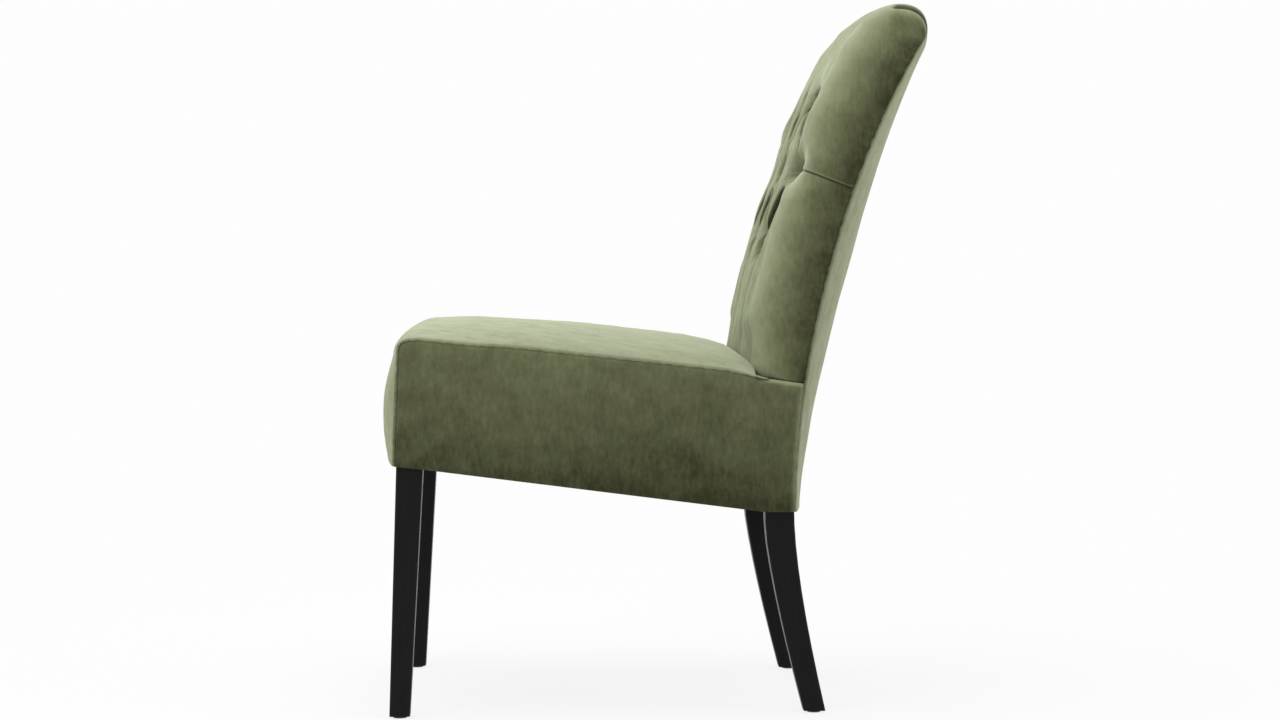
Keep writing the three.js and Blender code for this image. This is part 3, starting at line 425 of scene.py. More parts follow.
def bumps(nodes, links, shader, layers):
    normal = None
    for height, strength, distance in layers:
        bump = nodes.new("ShaderNodeBump")
        bump.inputs["Strength"].default_value = strength
        bump.inputs["Distance"].default_value = distance
        links.new(height, bump.inputs["Height"])
        if normal is not None:
            links.new(normal, bump.inputs["Normal"])
        normal = bump.outputs["Normal"]
    links.new(normal, shader.inputs["Normal"])


def velvet_material(name, tones, grazing, crease_shade):
    """Short pile: dark looked at squarely, pale where the eye or the light grazes it.

    Two marks on the mesh steer it: painted light and shade, mixed with the pile's patches of tone (0 dark, 1
    light), and painted shade in folds and seams.
    """
    material, nodes, links, shader = new_material(name)
    plain = coordinates(nodes, links)
    brushed = coordinates(nodes, links, (1.0, 1.0, 0.4))
    patches = noise(nodes, links, plain, scale=34, detail=4, rough=0.62)
    strokes = noise(nodes, links, brushed, scale=190, detail=4, rough=0.65)
    pile = noise(nodes, links, plain, scale=1400, detail=2, rough=0.5)
    # painted light and shade from the mesh, with the pile's patches and strokes added
    tone = mesh_mark(nodes, "tone_and_painted_light")
    for texture, share in ((patches, 0.55), (strokes, 0.45)):
        centred = calculate(nodes, links, "SUBTRACT", texture, 0.5)
        tone = calculate(nodes, links, "MULTIPLY_ADD", centred, share, tone)
    body = ramp(nodes, links, tone, tones)
    rim = nodes.new("ShaderNodeLayerWeight")
    rim.inputs["Blend"].default_value = 0.38
    graze = calculate(nodes, links, "POWER", rim.outputs["Facing"], 1.15)
    rim_color = ramp(nodes, links, tone, grazing)
    shade = blend_colors(nodes, links, graze, body, rim_color)
    # painted shade in folds, pits and seams
    shade = blend_colors(nodes, links, mesh_mark(nodes, "painted_shade"), shade, crease_shade)
    links.new(shade, shader.inputs["Base Color"])
    shader.inputs["Roughness"].default_value = 0.85
    shader.inputs["Specular IOR Level"].default_value = 0.12
    shader.inputs["Sheen Weight"].default_value = 0.28
    shader.inputs["Sheen Roughness"].default_value = 0.42
    shader.inputs["Sheen Tint"].default_value = (0.80, 0.84, 0.66, 1)
    bumps(nodes, links, shader, [(strokes, 0.25, 0.0010), (pile, 0.35, 0.0004)])
    return material


def lacquer_material(name):
    """Satin black lacquer over close-grained wood."""
    material, nodes, links, shader = new_material(name)
    grain = noise(nodes, links, coordinates(nodes, links, (1, 1, 0.06)), scale=260, detail=5, rough=0.6)
    dust = noise(nodes, links, coordinates(nodes, links), scale=45, detail=4, rough=0.6)
    color = ramp(nodes, links, grain, [(0.3, (0.0035, 0.0035, 0.0038)), (0.75, (0.0065, 0.0064, 0.0069))])
    links.new(color, shader.inputs["Base Color"])
    sheen = nodes.new("ShaderNodeMapRange")
    sheen.inputs["To Min"].default_value = 0.3
    sheen.inputs["To Max"].default_value = 0.46
    links.new(dust, sheen.inputs["Value"])
    links.new(sheen.outputs["Result"], shader.inputs["Roughness"])
    shader.inputs["Specular IOR Level"].default_value = 0.13
    bumps(nodes, links, shader, [(grain, 0.12, 0.0004)])
    return material


def timber_material(name, light, dark, along):
    """Planed timber; along gives the stretch of the grain."""
    material, nodes, links, shader = new_material(name)
    vector = coordinates(nodes, links, along)
    rings = noise(nodes, links, vector, scale=38, detail=6, rough=0.6)
    pores = noise(nodes, links, vector, scale=420, detail=3, rough=0.6)
    color = ramp(nodes, links, rings, [(0.3, light), (0.52, mix3(light, dark, 0.45)), (0.7, dark)])
    links.new(color, shader.inputs["Base Color"])
    shader.inputs["Roughness"].default_value = 0.62
    bumps(nodes, links, shader, [(rings, 0.15, 0.0006), (pores, 0.3, 0.0003)])
    return material


def mix3(a, b, t):
    return tuple(p + (q - p) * t for p, q in zip(a, b))


def plain_material(name, light, dark, scale, rough, metal=0.0, bump=0.3, depth=0.0003):
    material, nodes, links, shader = new_material(name)
    spots = noise(nodes, links, coordinates(nodes, links), scale=scale, detail=4, rough=0.6)
    links.new(ramp(nodes, links, spots, [(0.3, dark), (0.7, light)]), shader.inputs["Base Color"])
    shader.inputs["Roughness"].default_value = rough
    shader.inputs["Metallic"].default_value = metal
    bumps(nodes, links, shader, [(spots, bump, depth)])
    return material


# Scale of a wave texture that lays one band to each unit of its map
BANDS = 0.314


def woven_material(name, light, dark, threads, stretch):
    """Plain weave on the strap's own UV map; threads is the count along each side."""
    material, nodes, links, shader = new_material(name)
    place = nodes.new("ShaderNodeTexCoord")
    waves = []
    for axis, count in zip("XY", threads):
        wave = nodes.new("ShaderNodeTexWave")
        wave.bands_direction = axis
        wave.inputs["Scale"].default_value = count * BANDS
        wave.inputs["Distortion"].default_value = 0.6
        wave.inputs["Detail"].default_value = 1.0
        links.new(place.outputs["UV"], wave.inputs["Vector"])
        waves.append(wave.outputs["Fac"])
    cross = calculate(nodes, links, "MULTIPLY", *waves)
    fibre = noise(nodes, links, coordinates(nodes, links, stretch), scale=300, detail=4, rough=0.7)
    body = blend_colors(nodes, links, fibre, dark, light)
    color = blend_colors(nodes, links, cross, mix3(dark, light, 0.15), body)
    links.new(color, shader.inputs["Base Color"])
    shader.inputs["Roughness"].default_value = 0.92
    bumps(nodes, links, shader, [(cross, 0.6, 0.0006), (fibre, 0.4, 0.0003)])
    return material


# The velvet's colours from painted shade to painted light (with the pile's patches of tone), looked at
# squarely and at a graze
TONES = [(0.0, (0.030, 0.030, 0.012)), (0.5, (0.110, 0.119, 0.058)), (1.0, (0.225, 0.245, 0.135))]
GRAZING = [(0.0, (0.188, 0.210, 0.088)), (0.5, (0.45, 0.49, 0.325)), (1.0, (0.52, 0.565, 0.39))]
# colour of the painted shade in folds, pits and seams
CREASE_SHADE = (0.020, 0.021, 0.009)

velvet = velvet_material("olive_velvet", TONES, GRAZING, CREASE_SHADE)
lacquer = lacquer_material("black_lacquer")
beech = timber_material("planed_beech", (0.62, 0.43, 0.24), (0.44, 0.27, 0.13), (1, 1, 1))
plywood = timber_material("sanded_plywood", (0.55, 0.39, 0.21), (0.40, 0.26, 0.13), (0.2, 1, 1))
foam = plain_material(
    "upholstery_foam", (0.80, 0.74, 0.55), (0.66, 0.60, 0.42), scale=900, rough=0.95, bump=0.7, depth=0.0008
)
zinc = plain_material(
    "zinc_steel", (0.55, 0.56, 0.57), (0.38, 0.38, 0.39), scale=320, rough=0.38, metal=0.95, bump=0.15
)
nylon = plain_material(
    "moulded_nylon", (0.030, 0.030, 0.031), (0.018, 0.018, 0.019), scale=500, rough=0.45, bump=0.12
)
jute = woven_material("jute_webbing", (0.42, 0.30, 0.15), (0.26, 0.17, 0.075), (26, 240), (1, 1, 1))
lining = plain_material(
    "black_lining", (0.022, 0.022, 0.023), (0.010, 0.010, 0.011), scale=1500, rough=0.95, bump=0.5, depth=4e-4
)
twine = plain_material(
    "waxed_twine", (0.50, 0.42, 0.28), (0.34, 0.27, 0.17), scale=1400, rough=0.8, bump=0.6, depth=0.0004
)

# Buttons and pleats of the tufted back, measured along the cloth from the middle and up the seam
tuft_rows = [(ROW - BUTTON_ROW, 3), (ROW, 4), (ROW + BUTTON_ROW, 3)]
buttons = [((k - (count - 1) / 2) * PITCH, height) for height, count in tuft_rows for k in range(count)]
pleats = [
    (a, b)
    for a in buttons
    for b in buttons
    if 0 < b[1] - a[1] < 1.5 * BUTTON_ROW and abs(b[0] - a[0]) < PITCH
]
OUTER_BUTTON = 1.5 * PITCH

# Dents and a swell of the padding: depth, height above the middle row, reach up and down
MIDDLE_DENT = (0.0062, 0.002, 0.036)
UPPER_SWELL = (0.0028, 0.067, 0.022)
LOWER_DENT = (0.0022, 0.330 - ROW, 0.100)
ROLL_DENT = (0.0070, 0.006, 0.022)
SHOULDER_DENT = (0.0080, BUTTON_ROW - 0.014, 0.022)

# Where the last two lie: distance from the middle, reach across
ROLL_DENT_PLACE = (0.190, 0.024)
SHOULDER_DENT_PLACE = (0.135, 0.026)

# The first three are full only near the outermost buttons, and all of them end on the side roll
OUTER_ZONE = (0.120, 0.165)
INNER_SHARE = 0.65
DENTS_END = (0.012, 0.060)

# Pit round a button, and the painted shade in it
PIT_DEPTH = BUTTON_SINK - 0.002
PIT_REACH = 0.0150
UPPER_PIT_REACH = 0.0110
UPPER_PIT_STEEPNESS = 1.6
PIT_FORM = 1.45
PIT_MARK = 0.5
PIT_MARK_REACH = 0.009

# Pleat between two buttons: its two walls, the valley they sit in, and the painted shade along it
INNER_WALL = 0.0058
INNER_WALL_FORM = 1.8
OUTER_WALL = 0.0150
INNER_VALLEY = 0.0012
OUTER_VALLEY = 0.0030
VALLEY_REACH = 0.016
MARK_LEAST = 0.0030
MARK_LOWER = 0.0095
MARK_UPPER = 0.0088
MARK_OUTSIDE = 0.0040
MARK_FLARE = 0.0045
FLARE_REACH = 0.024
INNER_MARK = 0.7
MARK_FORM = 6
MARK_START = (0.02, 0.25)

# Where a crease starts and ends along its pleat, upper button to lower, and over what shares it does
LOWER_CREASE = (0.22, 1.04)
UPPER_CREASE = (-0.14, 0.64)
CREASE_EASE = (0.16, 0.28)

# Upright pleat that dies away from a button of the outer rows: lasting depth, starting depth, length
DOWN_PLEAT = (0.0018, 0.012, 0.014)
UP_PLEAT = (0.0, 0.004, 0.008)
UPRIGHT_WIDTH = 0.007
UPRIGHT_SPREAD = 0.10

# Pleat from an outer button round the side roll to the rear seam, with painted shade under its lap
SIDE_PLEAT_START = 0.0070
SIDE_PLEAT_END = 0.0022
SIDE_PLEAT_EASE = (0.010, 0.050)
SIDE_PLEAT_PIT = (0.010, 0.008)
LAP_ABOVE = 0.0014
LAP_BELOW = 0.0050
SIDE_MARK_DROP = 0.0006
SIDE_MARK = 0.0012

# Small creases that gather the cloth at a button: their depth and number, where they begin, their reach
GATHER = 0.0007
GATHER_COUNTS = (11, 17)
GATHER_START = (0.006, 0.014)
GATHER_REACH = 0.016


def dent(up, depth, height, reach):
    """Depth of a level dent right across, at a height above the middle row."""
    return depth * bell(up - height, reach)


def padding_dents(a, s):
    """The rows of buttons hold the padding down between them, and pull the side rolls in beside them."""
    up = s - ROW
    outer = smooth(a, *OUTER_ZONE)
    level = dent(up, *MIDDLE_DENT) * mix(INNER_SHARE, 1, outer)
    level = level - dent(up, *UPPER_SWELL) * outer
    level = level + dent(up, *LOWER_DENT) * outer
    for row, (place, reach) in ((ROLL_DENT, ROLL_DENT_PLACE), (SHOULDER_DENT, SHOULDER_DENT_PLACE)):
        level = level + dent(up, *row) * bell(a - place, reach)
    return level * (1 - smooth(a, FRONT_REACH + DENTS_END[0], FRONT_REACH + DENTS_END[1]))


def button_pit(a, s, x, height):
    """Depth of the pit round a button, and its painted shade; the padding over the top row stands up steeply.
    """
    rise = s - height
    reach = PIT_REACH
    if height > ROW:
        rise = np.where(rise > 0, UPPER_PIT_STEEPNESS * rise, rise)
        reach = np.where(np.abs(a) < abs(x), UPPER_PIT_REACH, PIT_REACH)
    away = np.hypot(a - x, rise)
    return PIT_DEPTH * np.exp(-((away / reach) ** PIT_FORM)), PIT_MARK * bell(away, PIT_MARK_REACH)


def crease_depth(t, lower):
    """Depth of a pleat's crease along it, from its upper button to its lower one."""
    start, end = LOWER_CREASE if lower else UPPER_CREASE
    begun = smooth(t, start, start + CREASE_EASE[0])
    return PLEAT_MIDDLE * begun * (1 - smooth(t, end - CREASE_EASE[1], end))


def diamond_pleat(a, s, low, high):
    """Depth and painted shade of the pleat between two buttons: steep on its diamond's side, gentle on the
    other.
    """
    (xa, sa), (xb, sb) = low, high
    lower = sb == ROW
    dx, ds = xb - xa, sb - sa
    t = clamp(((a - xa) * dx + (s - sa) * ds) / math.hypot(dx, ds) ** 2, 0, 1)
    off = np.hypot(a - xa - t * dx, s - sa - t * ds)
    apex = xa if lower else xb
    inner = math.copysign(1, (apex - xa) * ds - (ROW - sa) * dx)
    inside = ((a - xa) * ds - (s - sa) * dx) * inner > 0
    deep = crease_depth(1 - t, lower)
    wall = np.where(inside, np.exp(-((off / INNER_WALL) ** INNER_WALL_FORM)), np.exp(-off / OUTER_WALL))
    valley = np.where(inside, INNER_VALLEY, OUTER_VALLEY) * bell(off, VALLEY_REACH)
    valley = valley * np.abs(np.sin(math.pi * t)) ** 0.5
    shown = deep / PLEAT_MIDDLE
    widest = mix(MARK_LEAST, MARK_LOWER if lower else MARK_UPPER, shown)
    if lower:
        widest = widest + MARK_FLARE * shown * bell(np.hypot(a - xb, s - sb), FLARE_REACH)
    reach = np.where(inside, widest, MARK_OUTSIDE)
    dark = 1.0 if max(abs(xa), abs(xb)) > 1.4 * PITCH else INNER_MARK
    return deep * wall + valley, dark * smooth(shown, *MARK_START) * np.exp(-((off / reach) ** MARK_FORM))


def upright_pleat(a, s, x, height):
    """Depth of the pleat that runs down from a button of the lowest row, or up from one of the top row."""
    lasting, start, length = DOWN_PLEAT if height < ROW else UP_PLEAT
    past = height - s if height < ROW else s - height
    ahead = np.maximum(past, 0)
    low = lasting + start * np.exp(-ahead / length)
    wide = UPRIGHT_WIDTH + UPRIGHT_SPREAD * ahead
    return np.where(past > 0, low * np.exp(-np.abs(a - x) / wide), 0)


def side_pleat(a, s):
    """Depth and painted shade of the pleat round the side roll, its upper edge lapped over the lower."""
    beyond = np.maximum(a - OUTER_BUTTON, 0)
    started = a > OUTER_BUTTON
    groove = mix(SIDE_PLEAT_START, SIDE_PLEAT_END, smooth(beyond, *SIDE_PLEAT_EASE))
    groove = groove + SIDE_PLEAT_PIT[0] * np.exp(-beyond / SIDE_PLEAT_PIT[1])
    lap = np.exp(-np.abs(s - ROW) / np.where(s > ROW, LAP_ABOVE, LAP_BELOW))
    return np.where(started, groove * lap, 0), np.where(started, bell(s - ROW + SIDE_MARK_DROP, SIDE_MARK), 0)


def tuft(a, s):
    """How far the cloth is drawn in at a place across it and up the back, and the painted shade it gets from
    a fold near it.
    """
    drawn = [button_pit(a, s, *button) for button in buttons]
    drawn += [diamond_pleat(a, s, low, high) for low, high in pleats]
    drawn.append(side_pleat(np.abs(a), s))
    sink = np.zeros(np.broadcast(a, s).shape)
    painted_shade = np.zeros_like(sink)
    for depth, mark in drawn:
        sink = np.maximum(sink, depth)
        painted_shade = np.maximum(painted_shade, mark)
    for x, height in buttons:
        if height != ROW:
            sink = np.maximum(sink, upright_pleat(a, s, x, height))
    return sink + padding_dents(np.abs(a), s), painted_shade


def gathers(a, s):
    """Small creases that run in to each button."""
    lift = np.zeros(np.broadcast(a, s).shape)
    for k, (x, height) in enumerate(buttons):
        r = np.hypot(a - x, s - height)
        turn = np.arctan2(s - height, a - x)
        wave = np.cos(GATHER_COUNTS[0] * turn + 1.9 * k) + 0.6 * np.cos(GATHER_COUNTS[1] * turn + 2.7 * k)
        lift = lift + GATHER * wave * smooth(r, *GATHER_START) * np.exp(-r / GATHER_REACH)
    return lift


# Pleat round each top corner: its turn as a share of the roll, its depth, the fullness beside it, its painted
# shade
CORNER_PLEAT_TURN = 0.34
CORNER_PLEAT = 0.0035
CORNER_PLEAT_REACH = 0.0028
CORNER_FULLNESS = 0.0018
CORNER_FULLNESS_PLACE = 0.009
CORNER_FULLNESS_REACH = 0.008
CORNER_START = (0.26, 0.36)
CORNER_MARK = 0.8
CORNER_MARK_REACH = 0.0026
CORNER_BAND = 0.52
CORNER_BAND_START = 0.003
CORNER_BAND_END = (0.010, 0.026)

# Painted light and shade on the inside back, with patches of the pile's tone, and where it differs up the
# seam and across the cloth
SEAM_SHADED_TONE = 0.08
SIDE_PAINTED_LIGHT = 0.76
FRONT_PAINTED_SHADE = 0.68
PATCHES = 0.05
UPPER_SIDE_LIFT = 0.10
UPPER_SIDE_START = (0.44, 0.58)
UPPER_SIDE_END = (0.60, 0.66)
TOP_PAINTED_TONE = 0.34
TOP_PAINTED_ZONE = (0.050, 0.095)
# painted light in the outer pits, against their shade
PALE_PITS = [(OUTER_BUTTON - 0.012, ROW), (PITCH, ROW + BUTTON_ROW + 0.016)]
PALE_PIT_LIFT = 0.30
PALE_PIT_REACH = 0.026
# painted highlight on the lip of the side pleat's lap
LAP_LIP_LIFT = 0.35
LAP_LIP = 0.0014
LAP_LIP_REACH = 0.0010
# painted shadow of a gather near the top of the rear seam
TUCK_PLACE = (0.010, 0.062)
TUCK_SHADE = 0.25
TUCK_REACH = 0.012

# Puckers, unevenness and painted seam shade of the inside back
INSIDE_PUCKERS = {"depth": 0.0009, "waves": 420, "sway": 3, "swing": 61, "reach": 0.009}
INSIDE_PUCKERS_END = 0.03
SEAM_SHARE = 0.25
SEAM_EASE = 0.02
UNEVENNESS = 0.0012
TUFT_MARK = 0.97
REAR_SEAM_MARK = 0.65
REAR_SEAM_REACH = 0.0020
FOOT_MARK = 0.35
FOOT_MARK_REACH = 0.0022

# Handles of the curve from the pad's front over its top: rise above the front's head, share of its depth
NOSE = [
    np.array([0, 1]),
    np.array([TOP_RISE, 0.75]),
    np.array([TOP_RISE + TOP_REACH / 2 - TOP_REACH_TRIM, 0.18]),
    np.array([PAD_TOP, 0]),
]
FRONT_SPAN = PAD_HEAD - PAD_FOOT
NOSE_SPAN = 0.105
ROLL_SPAN = ROLL * math.pi / 2
FLAP_SPAN = BACK_DEPTH - ROLL
ACROSS = FRONT_REACH + ROLL_SPAN + FLAP_SPAN
FLAP_HEAD = POST_HEAD - 0.016
FOOT_ZONE = 0.090
CROWN_SQUARENESS = 6
CROWN_FORM = 0.8
ROLL_LIMIT = 0.7
CORNER_SQUARENESS = 0.35
ROW_CROWDING = 0.6
ROW_BAND = 0.03


def corner_fall(y):
    """How far the seat's side seam, and the pad that stands on it, drop towards the rear corner."""
    tail = clamp((y - CORNER_FALL_ZONE[1]) / TAIL_LENGTH, 0, 1)
    return -CORNER_FALL * smooth(y, *CORNER_FALL_ZONE) - TAIL_FALL * tail


def seam_rise(y):
    """The seat's side seam is arched up a little along its length and falls at its rear end."""
    return SEAM_ARCH * smooth(y, *ARCH_START) * (1 - smooth(y, *ARCH_END)) + corner_fall(y)


def pad_floor(depth):
    """Height up the seam at which the pad, at a depth forward of it, stands on the seat."""
    height = SEAT_SIDE + 0 * depth
    for _ in range(4):
        place = back_point(0 * depth, height, depth)
        seat = underside(place[..., 1]) + SEAT_SIDE + corner_fall(place[..., 1])
        height = height + seat + 2 * GAP - place[..., 2]
    return height


def on_seat(height, depth):
    """The lowest rows are moved up so that the pad's foot stands on the seat."""
    zone_head = PAD_FOOT + FOOT_ZONE
    share = clamp((height - PAD_FOOT) / FOOT_ZONE, 0, 1)
    return np.where(height < zone_head, mix(pad_floor(depth), zone_head, share), height)


def row_share(v):
    """Rows lie closer together at the pleats that run out from the middle row of buttons."""
    centre = (ROW - PAD_FOOT) / (FRONT_SPAN + NOSE_SPAN)
    pull = ROW_CROWDING * ROW_BAND
    pulled = v - pull * np.tanh((v - centre) / ROW_BAND)
    low = pull * math.tanh(centre / ROW_BAND)
    high = 1 - pull * math.tanh((1 - centre) / ROW_BAND)
    return (pulled - low) / (high - low)


def top_crown(x, t):
    """Rise of the top over its corners: nearly level across, rounded off at both ends."""
    level = 1 - clamp(np.abs(x) / BACK_HALF, 0, 1) ** CROWN_SQUARENESS
    return TOP_CROWN * level * np.abs(np.sin(math.pi * t)) ** CROWN_FORM


def pad_edge(x, v):
    """Height and depth of the pad's outline at a place across it, from its foot over to the rear seam."""
    up = v * (FRONT_SPAN + NOSE_SPAN)
    on_front = up <= FRONT_SPAN
    t = clamp((up - FRONT_SPAN) / NOSE_SPAN, 0, 1)
    rise, share = [cubic(t, *[handle[k] for handle in NOSE]) for k in (0, 1)]
    foot = CLOTH + GAP + rear_face(x, SEAM_LENGTH + 0 * x)
    front = front_depth(x, PAD_HEAD + 0 * x)
    height = np.where(on_front, PAD_FOOT + up, PAD_HEAD + rise + top_crown(x, t))
    front_here = front_depth(x, np.minimum(PAD_FOOT + up, PAD_HEAD))
    return height, np.where(on_front, front_here, foot + share * (front - foot)), t


def inside_back_face(u, v):
    """The cloth of the inside back, before it is drawn in: front, side rolls and side flaps."""
    along = (2 * u - 1) * ACROSS
    side = np.sign(along)
    a = np.abs(along)
    x_front = np.minimum(a, FRONT_REACH)
    height_front, depth_front, _ = pad_edge(x_front, v)
    front = back_point(side * x_front, on_seat(height_front, depth_front), depth_front)
    edge_height, edge_depth, t = pad_edge(BACK_HALF + 0 * v, v)
    bend = clamp((a - FRONT_REACH) / ROLL_SPAN, 0, 1)
    flap = clamp((a - FRONT_REACH - ROLL_SPAN) / FLAP_SPAN, 0, 1)
    level = v * (FRONT_SPAN + NOSE_SPAN)
    flap_height = PAD_FOOT + np.minimum(level, FRONT_SPAN) * (FLAP_HEAD - PAD_FOOT) / FRONT_SPAN
    flap_height = flap_height + (POST_HEAD - FLAP_HEAD) * clamp((level - FRONT_SPAN) / NOSE_SPAN, 0, 1)
    length = np.hypot(edge_depth - CLOTH - GAP, edge_height - flap_height)
    roll = np.minimum(ROLL, length * ROLL_LIMIT) / np.maximum(length, 1e-6)
    # the roll grows squarer towards the top corners
    power = mix(1, CORNER_SQUARENESS, np.minimum(1, t * 3))
    sine = np.sin(bend * math.pi / 2) ** power
    cosine = np.cos(bend * math.pi / 2) ** power
    rise = np.where(flap > 0, (1 - flap) * (1 - roll), 1 - roll + roll * cosine)
    x = FRONT_REACH + ROLL * np.where(flap > 0, 1, sine)
    height = mix(flap_height, edge_height + top_crown(x, t), rise)
    depth = mix(CLOTH + GAP, edge_depth, rise)
    # the lower corners are pulled back and in, down to the seat
    pull = CORNER_DRAW_SIDE * corner_pull(height) + FOOT_CURL_SIDE * foot_curl(height)
    depth = depth - bend * pull * (depth - CLOTH - GAP) / edge_depth
    x = x - CORNER_DRAW_FRONT * 0.5 * bend * (corner_pull(height) + foot_curl(height))
    wrapped = back_point(side * x, on_seat(height, depth), depth)
    return np.where((a > FRONT_REACH)[:, None], wrapped, front), along


def across_grain(u, v, step=1e-4):
    """The plain face's own normal, from its slopes both ways."""
    du = inside_back_face(clamp(u + step, 0, 1), v)[0] - inside_back_face(clamp(u - step, 0, 1), v)[0]
    dv = inside_back_face(u, clamp(v + step, 0, 1))[0] - inside_back_face(u, clamp(v - step, 0, 1))[0]
    normal = np.cross(du, dv)
    return normal / np.maximum(np.linalg.norm(normal, axis=1), 1e-12)[:, None]


def corner_pleat(a, s):
    """Depth and painted shade of the pleat that takes up the spare cloth round each top corner."""
    start, full = [PAD_HEAD + share * NOSE_SPAN for share in CORNER_START]
    line = a - FRONT_REACH - CORNER_PLEAT_TURN * ROLL_SPAN
    fullness = CORNER_FULLNESS * bell(line + CORNER_FULLNESS_PLACE, CORNER_FULLNESS_REACH)
    depth = CORNER_PLEAT * bell(line, CORNER_PLEAT_REACH) - fullness
    band = smooth(-line, 0.0, CORNER_BAND_START) * (1 - smooth(-line, *CORNER_BAND_END))
    mark = np.maximum(CORNER_MARK * bell(line, CORNER_MARK_REACH), CORNER_BAND * band)
    corner = smooth(s, start, full)
    return corner * depth, corner * mark


def inside_back_tone_and_painted_light(a, along, s):
    """Painted light and shade of the inside back: darker on the sides towards the rear seam, lighter at the
    outer pits, a painted highlight on the lap's lip, a painted shadow at the gather by the top of the rear
    seam, and patches of the pile's tone.
    """
    inward = clamp((ACROSS - a) / (FLAP_SPAN + ROLL), 0, 1)
    on_side = smooth(inward, 0.1, 0.5)
    tone_and_painted_light = SEAM_SHADED_TONE + SIDE_PAINTED_LIGHT * smooth(inward, -0.1, 0.98)
    tone_and_painted_light = tone_and_painted_light - FRONT_PAINTED_SHADE * smooth(FRONT_REACH - a, -0.026, 0.005)
    tone_and_painted_light = tone_and_painted_light + PATCHES * ripple(along, s, 0 * s, scale=15, seed=1.1)
    tone_and_painted_light = tone_and_painted_light + UPPER_SIDE_LIFT * (smooth(s, *UPPER_SIDE_START) - smooth(s, *UPPER_SIDE_END)) * on_side
    tone_and_painted_light = mix(tone_and_painted_light, TOP_PAINTED_TONE, smooth(s, PAD_HEAD + TOP_PAINTED_ZONE[0], PAD_HEAD + TOP_PAINTED_ZONE[1]))
    for x, height in PALE_PITS:
        tone_and_painted_light = tone_and_painted_light + PALE_PIT_LIFT * bell(np.hypot(a - x, s - height), PALE_PIT_REACH)
    tone_and_painted_light = tone_and_painted_light + LAP_LIP_LIFT * (a > OUTER_BUTTON) * bell(s - ROW - LAP_LIP, LAP_LIP_REACH)
    gathered = np.hypot(ACROSS - a - TUCK_PLACE[0], s - SEAM_LENGTH - TUCK_PLACE[1])
    return tone_and_painted_light - TUCK_SHADE * bell(gathered, TUCK_REACH)


def inside_back(u, v):
    """The drawn-in cloth: the plain face moved along its own normal."""
    v = row_share(v)
    base, along = inside_back_face(u, v)
    s = PAD_FOOT + v * (FRONT_SPAN + NOSE_SPAN)
    a = np.abs(along)
    from_seam = ACROSS - a
    front_share = 1 - smooth(s, PAD_HEAD - 0.01, PAD_HEAD + 0.06)
    drawn, painted_shade = tuft(along, s)
    sink = drawn * front_share * mix(SEAM_SHARE, 1, smooth(from_seam, 0.0, SEAM_EASE))
    sink = sink - gathers(along, s) * front_share
    sink = sink + puckers(s, from_seam, **INSIDE_PUCKERS) * bell(from_seam, INSIDE_PUCKERS_END)
    on_roll = clamp((a - FRONT_REACH) / ROLL_SPAN, 0, 1)
    unevenness = UNEVENNESS * ripple(*base.T, scale=38, seed=0.4)
    sink = sink + unevenness * (1 - on_roll * 0.5)
    corner_depth, corner_mark = corner_pleat(a, s)
    sink = sink + corner_depth
    # painted shade in the tuft folds and the corner pleat, along the rear seam and at the pad's foot
    painted_shade = np.maximum(TUFT_MARK * painted_shade * front_share, corner_mark)
    painted_shade = np.maximum(painted_shade, REAR_SEAM_MARK * bell(from_seam, REAR_SEAM_REACH))
    painted_shade = np.maximum(painted_shade, FOOT_MARK * bell(s - PAD_FOOT, FOOT_MARK_REACH))
    return base - across_grain(u, v) * sink[:, None], painted_shade, inside_back_tone_and_painted_light(a, along, s)


# Hidden side of the pad: clearances over the foam, the posts and their heads, where it turns rearwards
OVER_FOAM = 0.0012
OVER_POST = 0.0009
OVER_HEAD = 0.0006
TURN_OVER = 0.75


def inside_back_lining(u, v):
    """The side that lies on the posts, the back foam and the crest rail.

    Place runs from the middle: 4 parts to the post, 1 across its front and 1 along its outer face.
    """
    place = np.abs(2 * u - 1) * 6
    side = np.sign(2 * u - 1)
    floor = SEAT_SIDE + 2 * GAP
    up = np.minimum(1, v / TURN_OVER)
    over = clamp((v - TURN_OVER) / (1 - TURN_OVER), 0, 1)
    height = mix(floor, POST_HEAD + OVER_HEAD, up)
    reach = POST_INNER - GAP
    x = reach * np.minimum(place, 4) / 4
    front = foam_front(x, height) + OVER_FOAM
    front = np.where(place >= 3.9, np.maximum(front, POST_FRONT + OVER_POST), front)
    front = mix(front, CLOTH + GAP + rear_face(x, SEAM_LENGTH + 0 * x), over)
    flat = back_point(side * x, np.maximum(height, pad_floor(front)), front)
    wrap = clamp(place - 4, 0, 1)
    flap = clamp(place - 5, 0, 1)
    side_x = mix(reach, POST_OUTER + GAP, wrap)
    side_front = mix(POST_FRONT + OVER_POST, CLOTH + GAP, over)
    level = mix(height, mix(floor, POST_HEAD - GAP, v), flap)
    side_depth = mix(side_front, CLOTH + GAP, flap)
    wrapped = back_point(side * side_x, np.maximum(level, pad_floor(side_depth)), side_depth)
    return np.where((place > 4)[:, None], wrapped, flat)


inside = filled("tufted_inside_back", inside_back, inside_back_lining, (360, 360), (24, 24))
finish_piece(inside, velvet, "velvet", "inside_back_pad")

# Dome of a covered button: height above the button's foot, radius as a share of the button's
DOME_PROFILE = [
    (0.0002, 0.5),
    (0.0004, 0.92),
    (0.0016, 0.985),
    (0.0032, 0.97),
    (0.0048, 0.83),
    (0.0060, 0.60),
    (0.0067, 0.34),
    (0.0070, 0.1),
]
TOGGLE_BEVEL = 0.0008


